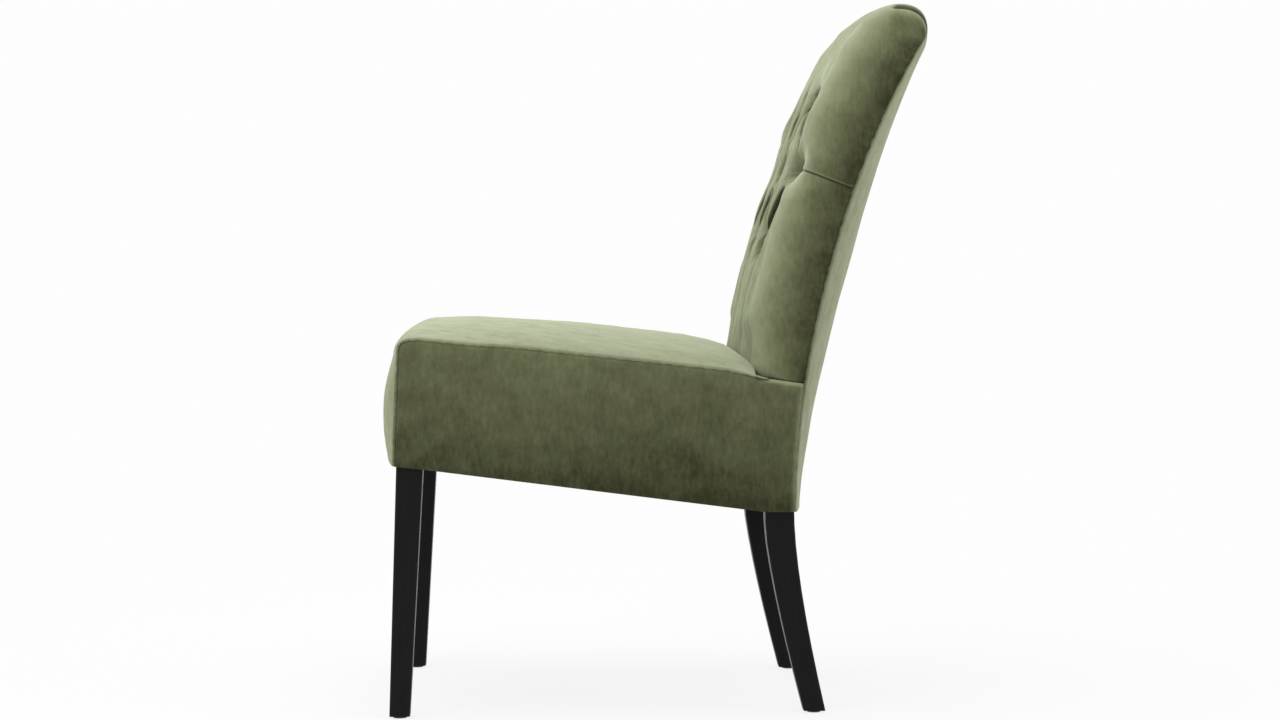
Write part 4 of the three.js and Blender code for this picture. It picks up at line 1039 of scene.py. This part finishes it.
def button_dome(name, reach):
    """The dome with its cloth gathered under it, extruded ring by ring."""
    bpy.ops.mesh.primitive_circle_add(vertices=32, radius=BUTTON * 0.5, fill_type="NGON", location=(0, 0, 0))
    dome = bpy.context.object
    dome.name = name
    dome.data.name = name
    bpy.ops.object.mode_set(mode="EDIT")
    bpy.ops.transform.translate(value=(0, 0, reach + DOME_PROFILE[0][0]))
    for (low, wide), (high, narrow) in zip(DOME_PROFILE, DOME_PROFILE[1:]):
        bpy.ops.mesh.extrude_region_move(TRANSFORM_OT_translate={"value": (0, 0, high - low)})
        size = narrow / wide
        bpy.ops.transform.resize(value=(size, size, 1), center_override=(0, 0, reach + high))
    bpy.ops.object.mode_set(mode="OBJECT")
    apply_modifier(dome, "SUBSURF", levels=1, render_levels=1)
    return dome


def upright_pin(sides, radius, length, middle):
    """A round pin along z, with its middle at a height."""
    bpy.ops.mesh.primitive_cylinder_add(vertices=sides, radius=radius, depth=length, location=(0, 0, middle))
    return bpy.context.object


# Covered buttons: a dome on a twine that ends in a toggle behind the back panel
for k, (x, height) in enumerate(buttons):
    seat = float(front_depth(np.array(x), np.array(height))) - BUTTON_SINK - GAP
    rail_x = max(0.0, abs(x) - TOGGLE_RADIUS)
    rear = float(rear_face(rail_x, height)) + REAR_PADDING + RAIL - 2 * GAP - TOGGLE_THICK
    reach = seat - rear
    dome = button_dome(f"covered_button_{k + 1}", reach)
    cord = upright_pin(12, TWINE, reach, reach / 2 + DOME_PROFILE[0][0])
    toggle = upright_pin(24, TOGGLE_RADIUS, TOGGLE_THICK, TOGGLE_THICK / 2)
    apply_modifier(toggle, "BEVEL", width=TOGGLE_BEVEL, segments=2)
    for part, material in ((dome, velvet), (cord, twine), (toggle, nylon)):
        part.data.materials.clear()
        part.data.materials.append(material)
    select_only(dome, cord, toggle)
    bpy.ops.object.join()
    foot = back_point(np.array(x), np.array(height), np.array(rear))
    _, _, along, rise = [float(value) for value in seam_frame(height)]
    dome.rotation_mode = "QUATERNION"
    dome.rotation_quaternion = Vector((0, 0, 1)).rotation_difference(Vector((0, -rise, along)))
    dome.location = (x, foot[1] + SHIFT, foot[2])
    select_only(dome)
    bpy.ops.object.transform_apply(location=True, rotation=True, scale=True)
    face_outwards(dome)
    smooth_faces(dome, 40)
    # the buttons take the middle of the painted light and shade
    mark = dome.data.attributes.new("tone_and_painted_light", "FLOAT", "POINT")
    mark.data.foreach_set("value", [0.5] * len(dome.data.vertices))
    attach(dome, BODY)
    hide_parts(f"back_button_{k + 1}")

# Seat cover: the waterfall of top and front, in shares of its rows from the foot of the face to the tuck
FACE_ROWS = {"face": 0.27, "shoulder": 0.11, "top": 0.58, "drop": 0.02, "tongue": 0.02}

# Handles of the rounded shoulder's curve, as shares of its drop and reach, and how square the seat's edge is
BROW_HANDLE = 0.7
SHOULDER_HANDLE = 0.62
SHOULDER_LIFT = 0.1
EDGE_SQUARENESS = 2.2

# Form of the seat's top: where it is sat in and where it is full, its unevenness, the least inset
SAT = (0.0022, 0.240, 0.110)
SAT_ACROSS = 0.55
FULL = (0.0026, 0.405, 0.075)
DENTS = 0.0014
FINE_DENTS = 0.0006
LEAST_INSET = -0.0035
PATTERN_HALF_WIDTH = 0.24
TONGUE_START = 0.98
TONGUE_EASE = 0.06

# Painted shade on the seat's face and painted light on its top, lighter still towards the rear, and its
# patches of the pile's tone
FACE_SHADED_TONE = 0.13
SEAT_LIT_TONE = 0.50
SEAT_LIT_START = (0.24, 0.40)
SEAT_REAR_LIFT = 0.05
SEAT_PATCHES = 0.06

# Seams: how deep the cloth rolls into one and over what reach, its puckers, and the painted shade along it
SEAT_LIP = (0.0022, 0.0024)
SIDE_TOP_LIP = (0.0018, 0.0022)
SIDE_REAR_LIP = (0.0014, 0.0025)
SIDE_FRONT_LIP = (0.0014, 0.0022)
PAD_LIP = (0.0026, 0.0030)
BACK_EDGE_LIP = (0.0016, 0.0025)
BACK_TOP_LIP = (0.0012, 0.0025)
SEAT_PUCKERS = {"depth": 0.0005, "waves": 330, "sway": 2, "swing": 47, "reach": 0.007}
SIDE_PUCKERS = {"depth": 0.0004, "waves": 300, "sway": 2, "swing": 41, "reach": 0.008}
BACK_PUCKERS = {"depth": 0.0004, "waves": 290, "sway": 2, "swing": 37, "reach": 0.008}
SEAT_ROWS_LENGTH = 0.86
SEAM_LINE_SHADE = 0.3
SEAM_LINE_SHADE_REACH = 0.0013


def knee_line():
    y = back_point(np.array(0.0), np.array(RAIL_LIFT + RAIL_HEIGHT), np.array(POST_FRONT))
    return float(y[1])


KNEE = knee_line()
HEAD = LEG_FACE + LEG_TOP
LEG_OUTER = SEAT_FRONT / 2 - LEG_INSET


def frame_side(y):
    """Half the width of the wooden frame."""
    y = clamp(y, HEAD - 0.004, KNEE)
    return mix(LEG_OUTER, POST_OUTER, (y - HEAD) / (KNEE - HEAD))


def pad_face(x):
    return back_point(x, SEAT_SIDE + 0 * x, front_depth(x, PAD_FOOT + 0 * x) + GAP)[:, 1]


def pair(y, height, like):
    """Depth and height side by side, each spread to the length of like."""
    return np.stack([y + 0 * like, height + 0 * like], -1)


def painted_seam_shade(from_seam):
    """Painted shade: a dark line along a seam."""
    return SEAM_LINE_SHADE * bell(from_seam, SEAM_LINE_SHADE_REACH)


def lip(from_seam, depth, reach):
    """What grows towards a seam, such as the cloth's roll into it."""
    return depth * bell(from_seam, reach)


def waterfall(across, v, inset):
    """Depth and height of the seat's outline at a place across it; v runs from the foot to the tuck."""
    weight = 1 - np.abs(across) ** EDGE_SQUARENESS
    drop = mix(EDGE_DROP, SHOULDER_DROP, weight)
    reach = mix(EDGE_REACH, SHOULDER_REACH, weight)
    tuck_y = pad_face(across * BACK_HALF) - 0.001
    summit = 2 * CROWN_MIDDLE - (CROWN_FRONT + CROWN_REAR) / 2
    foot = pair(-FACE_BOW_FOOT * weight, 0, weight)
    brow = pair(FACE_LEAN - FACE_BOW_TOP * weight, SEAT_SIDE - drop, weight)
    belly = (foot + brow) / 2 - pair(FACE_BULGE * 2 * weight, 0, weight)
    shoulder = pair(reach, SEAT_SIDE + CROWN_FRONT * weight, weight)
    middle = pair((reach + tuck_y) / 2, SEAT_SIDE + summit * weight, weight)
    tuck = pair(tuck_y, SEAT_SIDE + CROWN_REAR * weight, weight)
    tuck_foot = pair(tuck_y + GAP, SEAT_SIDE, weight)
    rear = pair(KNEE - GAP, SEAT_SIDE, weight)
    brow_handle = brow + pair(0, drop * BROW_HANDLE, weight)
    shoulder_handle = shoulder + pair(-reach * SHOULDER_HANDLE, -CROWN_FRONT * SHOULDER_LIFT * weight, weight)
    points = np.zeros((len(across), 2))
    tangent = np.zeros((len(across), 2))
    start = 0.0
    for name, span in FACE_ROWS.items():
        here = (v >= start) & ((v <= start + span) | (name == "tongue"))
        t = clamp((v - start) / span, 0, 1)[:, None]
        if name == "face":
            p = (1 - t) ** 2 * foot + 2 * t * (1 - t) * belly + t**2 * brow
            d = (1 - t) * (belly - foot) + t * (brow - belly)
        elif name == "shoulder":
            p = cubic(t, brow, brow_handle, shoulder_handle, shoulder)
            d = (1 - t) ** 2 * (brow_handle - brow) + 2 * t * (1 - t) * (shoulder_handle - brow_handle)
            d = d + t**2 * (shoulder - shoulder_handle)
        elif name == "top":
            p = (1 - t) ** 2 * shoulder + 2 * t * (1 - t) * middle + t**2 * tuck
            d = (1 - t) * (middle - shoulder) + t * (tuck - middle)
        elif name == "drop":
            p = tuck + t * (tuck_foot - tuck)
            d = np.ones_like(p) * np.array([1.0, -1.0])
        else:
            p = tuck_foot + t * (rear - tuck_foot)
            d = rear - tuck_foot
        points[here] = p[here]
        tangent[here] = d[here]
        start += span
    # the top follows the side seam: up all over towards the edge, down only close to it
    rise = seam_rise(points[:, 0])
    near_edge = np.minimum(1, np.abs(across) / 0.94) ** 8
    follow = np.maximum(rise, 0) * (1 - weight) + np.minimum(rise, 0) * near_edge
    points[:, 1] += np.where(v > 0.3, follow, 0)
    tangent /= np.maximum(np.linalg.norm(tangent, axis=1), 1e-12)[:, None]
    inward = np.stack([tangent[:, 1], -tangent[:, 0]], -1)
    return points + inward * inset[:, None]


def seat_top(u, v):
    """The cloth of top and front, rolled and puckered into the seams with the side covers."""
    across = 2 * u - 1
    from_edge = (1 - np.abs(across)) * SEAT_FRONT / 2
    plain = waterfall(across, v, np.zeros(len(u)))
    y, height = plain[:, 0], plain[:, 1]
    width = across * PATTERN_HALF_WIDTH
    shown = smooth(TONGUE_START - v, 0.0, TONGUE_EASE)
    rolled = lip(from_edge, *SEAT_LIP) + puckers(v * SEAT_ROWS_LENGTH, from_edge, **SEAT_PUCKERS)
    dents = DENTS * ripple(width, y, 0 * y, scale=21, seed=1.2)
    sat = SAT[0] * bell(across, SAT_ACROSS) * bell(y - SAT[1], SAT[2])
    full = FULL[0] * bell(y - FULL[1], FULL[2])
    fine = FINE_DENTS * ripple(width, y, height, scale=95, seed=2.0) * smooth(from_edge, 0.004, 0.03)
    inset = (rolled + (dents + sat - full) * smooth(from_edge, 0.004, 0.05) + fine) * shown
    place = waterfall(across, v, np.maximum(inset, LEAST_INSET))
    y, height = place[:, 0], place[:, 1]
    # painted shade on the face, painted light on the top
    tone_and_painted_light = mix(FACE_SHADED_TONE, SEAT_LIT_TONE, smooth(v, *SEAT_LIT_START)) + SEAT_REAR_LIFT * smooth(v, 0.5, 0.85)
    tone_and_painted_light = tone_and_painted_light + SEAT_PATCHES * ripple(width, y, height, scale=12, seed=4.2)
    return seat_point(across * half_width(y), y, height), painted_seam_shade(from_edge), tone_and_painted_light


seat = cloth("seat_top_and_front", seat_top, 150, 240, (0, -0.3, 1))
finish_piece(seat, velvet, "velvet", "seat_cover")

# Seat side covers: the share of the rows turned under, how far they turn, the wadding's unevenness
UNDER_ROWS = 0.06
TURNED_IN = 0.0065
WADDING_WAVE = 0.0009
HEM_WAVE = 0.0008
SIDE_CLOTH = 0.0017
COLUMN_CROWDING = 1.25

# Painted light and shade on the sides: the tone at the foot, its rise to the top, its fall to the rear, and
# its patches of the pile's tone
SIDE_FOOT_SHADED_TONE = 0.10
SIDE_RISE = 0.43
SIDE_FALL = 0.06
SIDE_PATCHES = 0.07

# Painted highlights along the sides' top edge beside the pad and along their rear edge: strength and reach
PAD_EDGE_LIGHT = (0.95, 0.0036)
REAR_EDGE_LIGHT = (0.80, 0.0030)


def side_top(y):
    """Height of the side cover's top edge: under the rounded shoulder, then along the seat's side seam."""
    t = np.linspace(0, 1, 200)
    brow = np.array([FACE_LEAN, SEAT_SIDE - EDGE_DROP])
    shoulder = np.array([EDGE_REACH, SEAT_SIDE])
    brow_handle = brow + np.array([0, EDGE_DROP * BROW_HANDLE])
    shoulder_handle = shoulder - np.array([EDGE_REACH * SHOULDER_HANDLE, 0])
    curve = [cubic(t, brow[k], brow_handle[k], shoulder_handle[k], shoulder[k]) for k in (0, 1)]
    top = np.interp(y - CLOTH - GAP, curve[0], curve[1]) - CLOTH - GAP
    return top + seam_rise(y) + (CLOTH + GAP) * smooth(y, KNEE - 0.010, KNEE - 0.004)


def hem(y):
    """The lower edge falls below the frame towards the rear legs, and rises a little behind them."""
    ahead = -HEM_DROP * clamp((y - HEAD) / (KNEE - HEAD), 0, 1)
    behind = (HEM_DROP - HEM_REAR) * clamp((y - KNEE) / (SEAT_DEPTH - KNEE), 0, 1)
    return ahead + behind


def side_cover(side):
    def surface(u, v):
        along = u**COLUMN_CROWDING
        length = along * SEAT_DEPTH
        up = clamp((v - UNDER_ROWS) / (1 - UNDER_ROWS), 0, 1)
        under = clamp((UNDER_ROWS - v) / UNDER_ROWS, 0, 1)
        # the outline, from the front seam to the rear seam
        nominal = mix(FACE_LEAN + CLOTH + GAP, SEAT_DEPTH, along)
        foot = hem(nominal)
        height = mix(foot, side_top(nominal), up)
        brow = SEAT_SIDE - EDGE_DROP
        front = FACE_LEAN * np.minimum(height, brow) / brow + CLOTH + GAP
        rear = back_point(0 * u, height, CLOTH + GAP + 0 * u)[:, 1]
        y = mix(front, rear, along)
        height = mix(foot, side_top(y), up)
        # lips that roll into the seams, puckers along them, and slightly uneven wadding
        from_top = (1 - up) * SEAT_SIDE
        from_rear = SEAT_DEPTH - length
        beside_pad = smooth(y, KNEE - 0.012, KNEE)
        rolled = lip(from_top, *SIDE_TOP_LIP) + lip(from_rear, *SIDE_REAR_LIP) + lip(length, *SIDE_FRONT_LIP)
        rolled = mix(rolled, lip(from_top, *PAD_LIP), beside_pad)
        rolled = rolled + puckers(length, from_top, **SIDE_PUCKERS)
        wave = WADDING_WAVE * ripple(y, height, 0 * y, scale=33, seed=0.7 + side) * smooth(from_top, 0, 0.03)
        wave = wave * smooth(length, 0, 0.03) * smooth(from_rear, 0, 0.03)
        low = HEM_WAVE * np.exp(-(height - foot) / 0.008) * (1 + np.sin(length * 95 + side))
        low = low * smooth(height - foot, 0.0, 0.004)
        arch = clamp(np.sin(math.pi * along), 0, 1) ** 0.5 * clamp(np.sin(math.pi * up), 0, 1) ** 0.7
        x = half_width(y) + SIDE_PUFF * arch - rolled - wave - low - TURNED_IN * under
        x = np.maximum(x, frame_side(y) + GAP + CLOTH - TURNED_IN * under)
        z = height + np.where(under > 0, 0.0014 * under**0.5 - 0.0009, 0.0)
        nearest = np.minimum(np.minimum(from_top + 0.02 * beside_pad, length), from_rear)
        level = clamp(height / SEAT_SIDE, 0, 1)
        # painted shade at the foot and towards the rear, painted light towards the top and along the edges
        tone_and_painted_light = SIDE_FOOT_SHADED_TONE + SIDE_RISE * level**0.7 - SIDE_FALL * along
        tone_and_painted_light = tone_and_painted_light + SIDE_PATCHES * ripple(y, height, 0 * y, scale=14, seed=2.6)
        tone_and_painted_light = tone_and_painted_light + lip(from_top, *PAD_EDGE_LIGHT) * beside_pad + lip(from_rear, *REAR_EDGE_LIGHT)
        return seat_point(side * x, y, z), painted_seam_shade(nearest), tone_and_painted_light

    return surface


for name, side in (("left", 1), ("right", -1)):
    panel = cloth(f"seat_side_{name}", side_cover(side), 200, 90, (side, 0, 0), SIDE_CLOTH)
    finish_piece(panel, velvet, "velvet", f"seat_side_cover_{name}")

# Outside back: one bowed sheet, the unevenness of its cloth, and its painted light tone with patches of the
# pile's tone
BACK_CLOTH = 0.0017
BACK_WAVE = 0.0010
BACK_WAVE_LEAST = -0.0008
BACK_PAINTED_TONE = 0.33
BACK_PATCHES = 0.06


def outside_back(u, v):
    across = 2 * u - 1
    x = across * BACK_HALF
    height = mix(-HEM_REAR, SEAM_LENGTH, v)
    from_edge = (1 - np.abs(across)) * BACK_HALF
    from_top = (1 - v) * SEAM_LENGTH
    inset = lip(from_edge, *BACK_EDGE_LIP) + lip(from_top, *BACK_TOP_LIP)
    inset = inset + puckers(height, from_edge, **BACK_PUCKERS)
    inside = smooth(from_edge, 0, 0.04) * smooth(from_top, 0, 0.04)
    wave = BACK_WAVE * ripple(x, height, 0 * x, scale=26, seed=1.9) * inside
    inset = inset + np.maximum(wave, BACK_WAVE_LEAST)
    painted_shade = painted_seam_shade(np.minimum(from_edge, from_top))
    # painted light tone over the whole panel, with patches of the pile's tone
    tone_and_painted_light = BACK_PAINTED_TONE + BACK_PATCHES * ripple(x, height, 0 * x, scale=10, seed=3.3)
    return back_point(x, height, rear_face(x, height) + inset), painted_shade, tone_and_painted_light


outside = cloth("outside_back_panel", outside_back, 130, 180, (0, 1, 0), BACK_CLOTH)
finish_piece(outside, velvet, "velvet", "outside_back_cover")

# Webbing, woven over and under
WEB_WIDTH = 0.050
WEB_WAVE = 0.0013
WEB_THICK = 0.0015
WEB_EASE = 0.030
WEB_BASE = RAIL_LIFT + RAIL_HEIGHT + GAP + WEB_WAVE
WEB_TOP = WEB_BASE + WEB_WAVE + WEB_THICK
CROSS_FIRST = HEAD + WEB_WIDTH
CROSS_PITCH = (KNEE - WEB_WIDTH - CROSS_FIRST) / 3
LONG_PITCH = (2 * POST_INNER - WEB_WIDTH) / 3
BEARING = float(back_point(np.array(0.0), np.array(RAIL_LIFT + RAIL_HEIGHT), np.array(0.0))[2]) + GAP

# Fillings: the seat's lip over the front rail, where its face ends among its rows, where it is pressed
LIP_FORWARD = 0.0048
FILL_FACE = 0.33
FILL_PRESSED = (0.0022, 0.27, 0.13)
FILL_SLACK = 0.0016
FILL_SETBACK = 0.0008
BACK_FILL_FOOT = 0.009
BACK_FILL_HEAD = 0.018


def seat_fill_top(u, v):
    side = 2 * u - 1
    under_cloth = np.full(len(u), CLOTH + 4 * GAP)
    nominal = waterfall(side, v, under_cloth)[:, 0]
    across = side * frame_side(nominal) / half_width(nominal)
    place = waterfall(across, v, under_cloth)
    y = np.minimum(place[:, 0], KNEE - GAP)
    height = np.maximum(place[:, 1], RAIL_LIFT)
    pressed = FILL_PRESSED[0] * bell(across, SAT_ACROSS) * bell(y - FILL_PRESSED[1], FILL_PRESSED[2])
    pressed = pressed + FILL_SLACK * (1 - across**2)
    return seat_point(side * frame_side(y), y + FILL_SETBACK * (v < 0.3), height - pressed * (v > 0.3))


def seat_fill_floor(u, v):
    on_face = v <= FILL_FACE
    face = LEG_FACE - LIP_FORWARD
    on_webbing = clamp((v - FILL_FACE) / (1 - FILL_FACE), 0, 1)
    y = np.where(on_face, face, mix(face, KNEE - GAP, on_webbing))
    height = np.where(on_face, mix(RAIL_LIFT, WEB_TOP + GAP, v / FILL_FACE), WEB_TOP + GAP)
    return seat_point((2 * u - 1) * frame_side(y), y, height)


filling = filled("seat_filling", seat_fill_top, seat_fill_floor, (32, 60), (8, 24))
finish_piece(filling, foam, "foam", "seat_foam")


def back_fill(depth_of):
    def surface(u, v):
        reach = POST_INNER - 2 * GAP
        x = (2 * u - 1) * reach
        height = mix(SEAT_SIDE + BACK_FILL_FOOT, POST_HEAD - BACK_FILL_HEAD, v)
        return back_point(x, height, depth_of(x, height))

    return surface


back_filling = filled(
    "back_filling",
    back_fill(lambda x, height: foam_front(x, height) - 0.0004),
    back_fill(lambda x, height: foam_front(x, height) - BACK_FOAM + 0.0002),
    (32, 44),
    (16, 22),
)
finish_piece(back_filling, foam, "foam", "back_foam")


def strap_rise(along, low, high, first, pitch, phase):
    """Height of a strap's top face, flat on the rails at both ends and waving over and under between."""
    ease = smooth(np.minimum(along - low, high - along), 0, WEB_EASE)
    wave = WEB_WAVE * np.cos(math.pi * (along - first) / pitch) * phase
    return WEB_BASE - WEB_WAVE * (1 - ease) + wave * ease + WEB_THICK


def long_strap(x, phase):
    wide = abs(x) + WEB_WIDTH / 2
    top = RAIL_LIFT + RAIL_HEIGHT
    depth = float(rear_face(wide, top)) + REAR_PADDING + RAIL * 0.3
    rear = float(back_point(np.array(0.0), np.array(top), np.array(depth))[1])

    def surface(u, v):
        y = mix(LEG_FACE + GAP, rear, v)
        rise = strap_rise(y, LEG_FACE + GAP, rear, CROSS_FIRST, CROSS_PITCH, phase)
        point = seat_point(x + (u - 0.5) * WEB_WIDTH, y, rise)
        point[:, 2] = np.maximum(point[:, 2], BEARING + WEB_THICK)
        return point

    return surface, rear - LEG_FACE


def cross_strap(y, phase):
    reach = float(min(frame_side(y - WEB_WIDTH / 2), frame_side(y + WEB_WIDTH / 2))) - GAP

    def surface(u, v):
        x = (2 * v - 1) * reach
        rise = strap_rise(x, -reach, reach, -LONG_PITCH, LONG_PITCH, phase)
        return seat_point(x, y + (u - 0.5) * WEB_WIDTH, rise)

    return surface, 2 * reach


straps = []
for k in range(3):
    straps.append((f"webbing_long_{k + 1}", *long_strap((k - 1) * LONG_PITCH, -1 if k % 2 else 1)))
for k in range(4):
    straps.append((f"webbing_cross_{k + 1}", *cross_strap(CROSS_FIRST + k * CROSS_PITCH, 1 if k % 2 else -1)))
for node, surface, length in straps:
    strap = cloth(node.replace("webbing", "jute_strap"), surface, 10, 90, (0, 0, 1), WEB_THICK)
    finish_piece(strap, jute, "jute_webbing", node)


# Lining tacked under the seat, cut out round the legs
LINING_THICK = 0.0009
LINING_CLEAR = 0.001
LINING_SAG = 0.0016
LINING_CREASE = 0.0003
DOUBLES = 0.00001


def dust_sheet(u, v):
    across = 2 * u - 1
    x_rear = across * (POST_OUTER - RAIL / 2)
    depth = rear_face(x_rear, RAIL_LIFT) + REAR_PADDING + RAIL / 2
    rear = back_point(0 * u, RAIL_LIFT + 0 * u, depth)[:, 1]
    y = mix(LEG_FACE + RAIL / 2, rear, v)
    x = across * (frame_side(y) - RAIL / 2)
    inner = smooth((1 - np.abs(across)) * 0.2, 0, 0.05) * smooth(v, 0, 0.1) * smooth(1 - v, 0, 0.1)
    sag = LINING_SAG * inner + LINING_CREASE * ripple(x, y, 0 * y, scale=60, seed=0.3) * inner
    return seat_point(x, y, RAIL_LIFT - GAP - LINING_CLEAR - sag)


def cut_round(piece, node):
    """A merged copy of a CAD solid is cut out of the piece."""
    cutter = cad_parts[node].copy()
    cutter.data = cutter.data.copy()
    bpy.context.collection.objects.link(cutter)
    select_only(cutter)
    bpy.ops.object.mode_set(mode="EDIT")
    bpy.ops.mesh.select_all(action="SELECT")
    bpy.ops.mesh.remove_doubles(threshold=DOUBLES)
    bpy.ops.object.mode_set(mode="OBJECT")
    apply_modifier(piece, "BOOLEAN", operation="DIFFERENCE", object=cutter, solver="EXACT")
    bpy.data.objects.remove(cutter)


dust = cloth("seat_lining", dust_sheet, 60, 60, (0, 0, -1), LINING_THICK)
for leg in ("front_leg", "rear_leg_post"):
    for side in ("left", "right"):
        cut_round(dust, f"{leg}_{side}")
smooth_faces(dust, 30)
finish_piece(dust, lining, "dust_cloth", "dust_cover")

# Wood, metal and plastic keep their CAD shapes
finishes = {
    "front_leg": lacquer,
    "rear_leg": lacquer,
    "corner_bolt": zinc,
    "foot_glide": nylon,
    "back_panel": plywood,
}
for node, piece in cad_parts.items():
    if "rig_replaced" in piece or piece.hide_render:
        continue
    material = next((finish for start, finish in finishes.items() if node.startswith(start)), beech)
    piece.data.materials.clear()
    piece.data.materials.append(material)
    piece.data.polygons.foreach_set("use_smooth", [True] * len(piece.data.polygons))
    weld = piece.modifiers.new("weld", "WELD")
    weld.merge_threshold = DOUBLES
    split = piece.modifiers.new("split", "EDGE_SPLIT")
    split.split_angle = math.radians(25)

# Camera at the photograph's place: its focal length and the picture's width in pixels, and its aim
FOCAL_PIXELS = 2669
PICTURE_PIXELS = 1280
SENSOR = 36
CAMERA_PLACE = (3.6678, SHIFT + 0.204, 0.5858)
CAMERA_YAW = math.radians(1.909)
CAMERA_PITCH = math.radians(2.038)


def aim(direction):
    """The turn of a camera or lamp that looks along a direction."""
    return direction.to_track_quat("-Z", "Y").to_euler()


level = math.cos(CAMERA_PITCH)
look = Vector((-level * math.cos(CAMERA_YAW), level * math.sin(CAMERA_YAW), -math.sin(CAMERA_PITCH)))
bpy.ops.object.camera_add(location=CAMERA_PLACE, rotation=aim(look))
camera = bpy.context.object
camera.data.lens = FOCAL_PIXELS * SENSOR / PICTURE_PIXELS
camera.data.sensor_width = SENSOR
camera.data.clip_end = 60
bpy.context.scene.camera = camera

# Studio: soft lamps, a pale floor that fades into the white surround
LAMP_TARGET = Vector((0, 0, 0.45))
FLOOR_SIZE = 30
FLOOR_TONE = 0.86
WHITE = 0.985
NEAR_WHITE = 0.84
FADE = (0.45, 1.5)
ROOM_LIGHT = 0.62


def lamp(name, place, size, power):
    bpy.ops.object.light_add(type="AREA", location=place, rotation=aim(LAMP_TARGET - Vector(place)))
    light = bpy.context.object
    light.name = name
    light.data.shape = "RECTANGLE"
    light.data.size = size
    light.data.size_y = size
    light.data.energy = power


def seen_by(nodes, links, *kinds):
    """1 for the two kinds of ray named, 0 for the others."""
    rays = nodes.new("ShaderNodeLightPath")
    return calculate(nodes, links, "MAXIMUM", *[rays.outputs[kind] for kind in kinds])


def floor_material():
    """Lit by the lamps close to the chair, so that it keeps the shadow, and white further out."""
    material, nodes, links, shader = new_material("pale_floor")
    shader.inputs["Base Color"].default_value = (FLOOR_TONE, FLOOR_TONE, FLOOR_TONE, 1)
    shader.inputs["Roughness"].default_value = 0.9
    glow = nodes.new("ShaderNodeEmission")
    glow.inputs["Color"].default_value = (1, 1, 1, 1)
    glow.inputs["Strength"].default_value = WHITE
    place = nodes.new("ShaderNodeTexCoord")
    away = nodes.new("ShaderNodeVectorMath")
    away.operation = "LENGTH"
    links.new(place.outputs["Object"], away.inputs[0])
    fade = nodes.new("ShaderNodeMapRange")
    fade.interpolation_type = "SMOOTHSTEP"
    for socket, value in zip(("From Min", "From Max", "To Min", "To Max"), (*FADE, NEAR_WHITE, 1.0)):
        fade.inputs[socket].default_value = value
    links.new(away.outputs["Value"], fade.inputs["Value"])
    seen = seen_by(nodes, links, "Is Camera Ray", "Is Glossy Ray")
    share = calculate(nodes, links, "MULTIPLY", seen, fade.outputs["Result"])
    choose = nodes.new("ShaderNodeMixShader")
    links.new(share, choose.inputs["Fac"])
    links.new(shader.outputs["BSDF"], choose.inputs[1])
    links.new(glow.outputs["Emission"], choose.inputs[2])
    links.new(choose.outputs["Shader"], nodes["Material Output"].inputs["Surface"])
    return material


def backdrop(nodes, strength):
    light = nodes.new("ShaderNodeBackground")
    light.inputs["Color"].default_value = (1, 1, 1, 1)
    light.inputs["Strength"].default_value = strength
    return light.outputs["Background"]


def white_surround(world):
    """A soft even light on the chair, and plain white where the camera sees past it."""
    world.use_nodes = True
    nodes, links = world.node_tree.nodes, world.node_tree.links
    nodes.clear()
    choose = nodes.new("ShaderNodeMixShader")
    links.new(seen_by(nodes, links, "Is Camera Ray", "Is Transmission Ray"), choose.inputs["Fac"])
    links.new(backdrop(nodes, ROOM_LIGHT), choose.inputs[1])
    links.new(backdrop(nodes, WHITE), choose.inputs[2])
    surround = nodes.new("ShaderNodeOutputWorld")
    links.new(choose.outputs["Shader"], surround.inputs["Surface"])


lamp("overhead_lamp", (0.3, -0.4, 3.0), 2.6, 46)
lamp("front_lamp", (2.7, -2.0, 1.7), 1.8, 22)
lamp("rear_lamp", (1.2, 2.8, 1.9), 1.8, 14)
lamp("far_lamp", (-2.8, -0.6, 1.6), 1.8, 20)

bpy.ops.mesh.primitive_plane_add(size=FLOOR_SIZE, location=(0, 0, 0))
floor = bpy.context.object
floor.name = "studio_floor"
floor.data.materials.append(floor_material())

scene = bpy.context.scene
if scene.world is None:
    scene.world = bpy.data.worlds.new("studio")
white_surround(scene.world)
scene.view_settings.view_transform = "Standard"
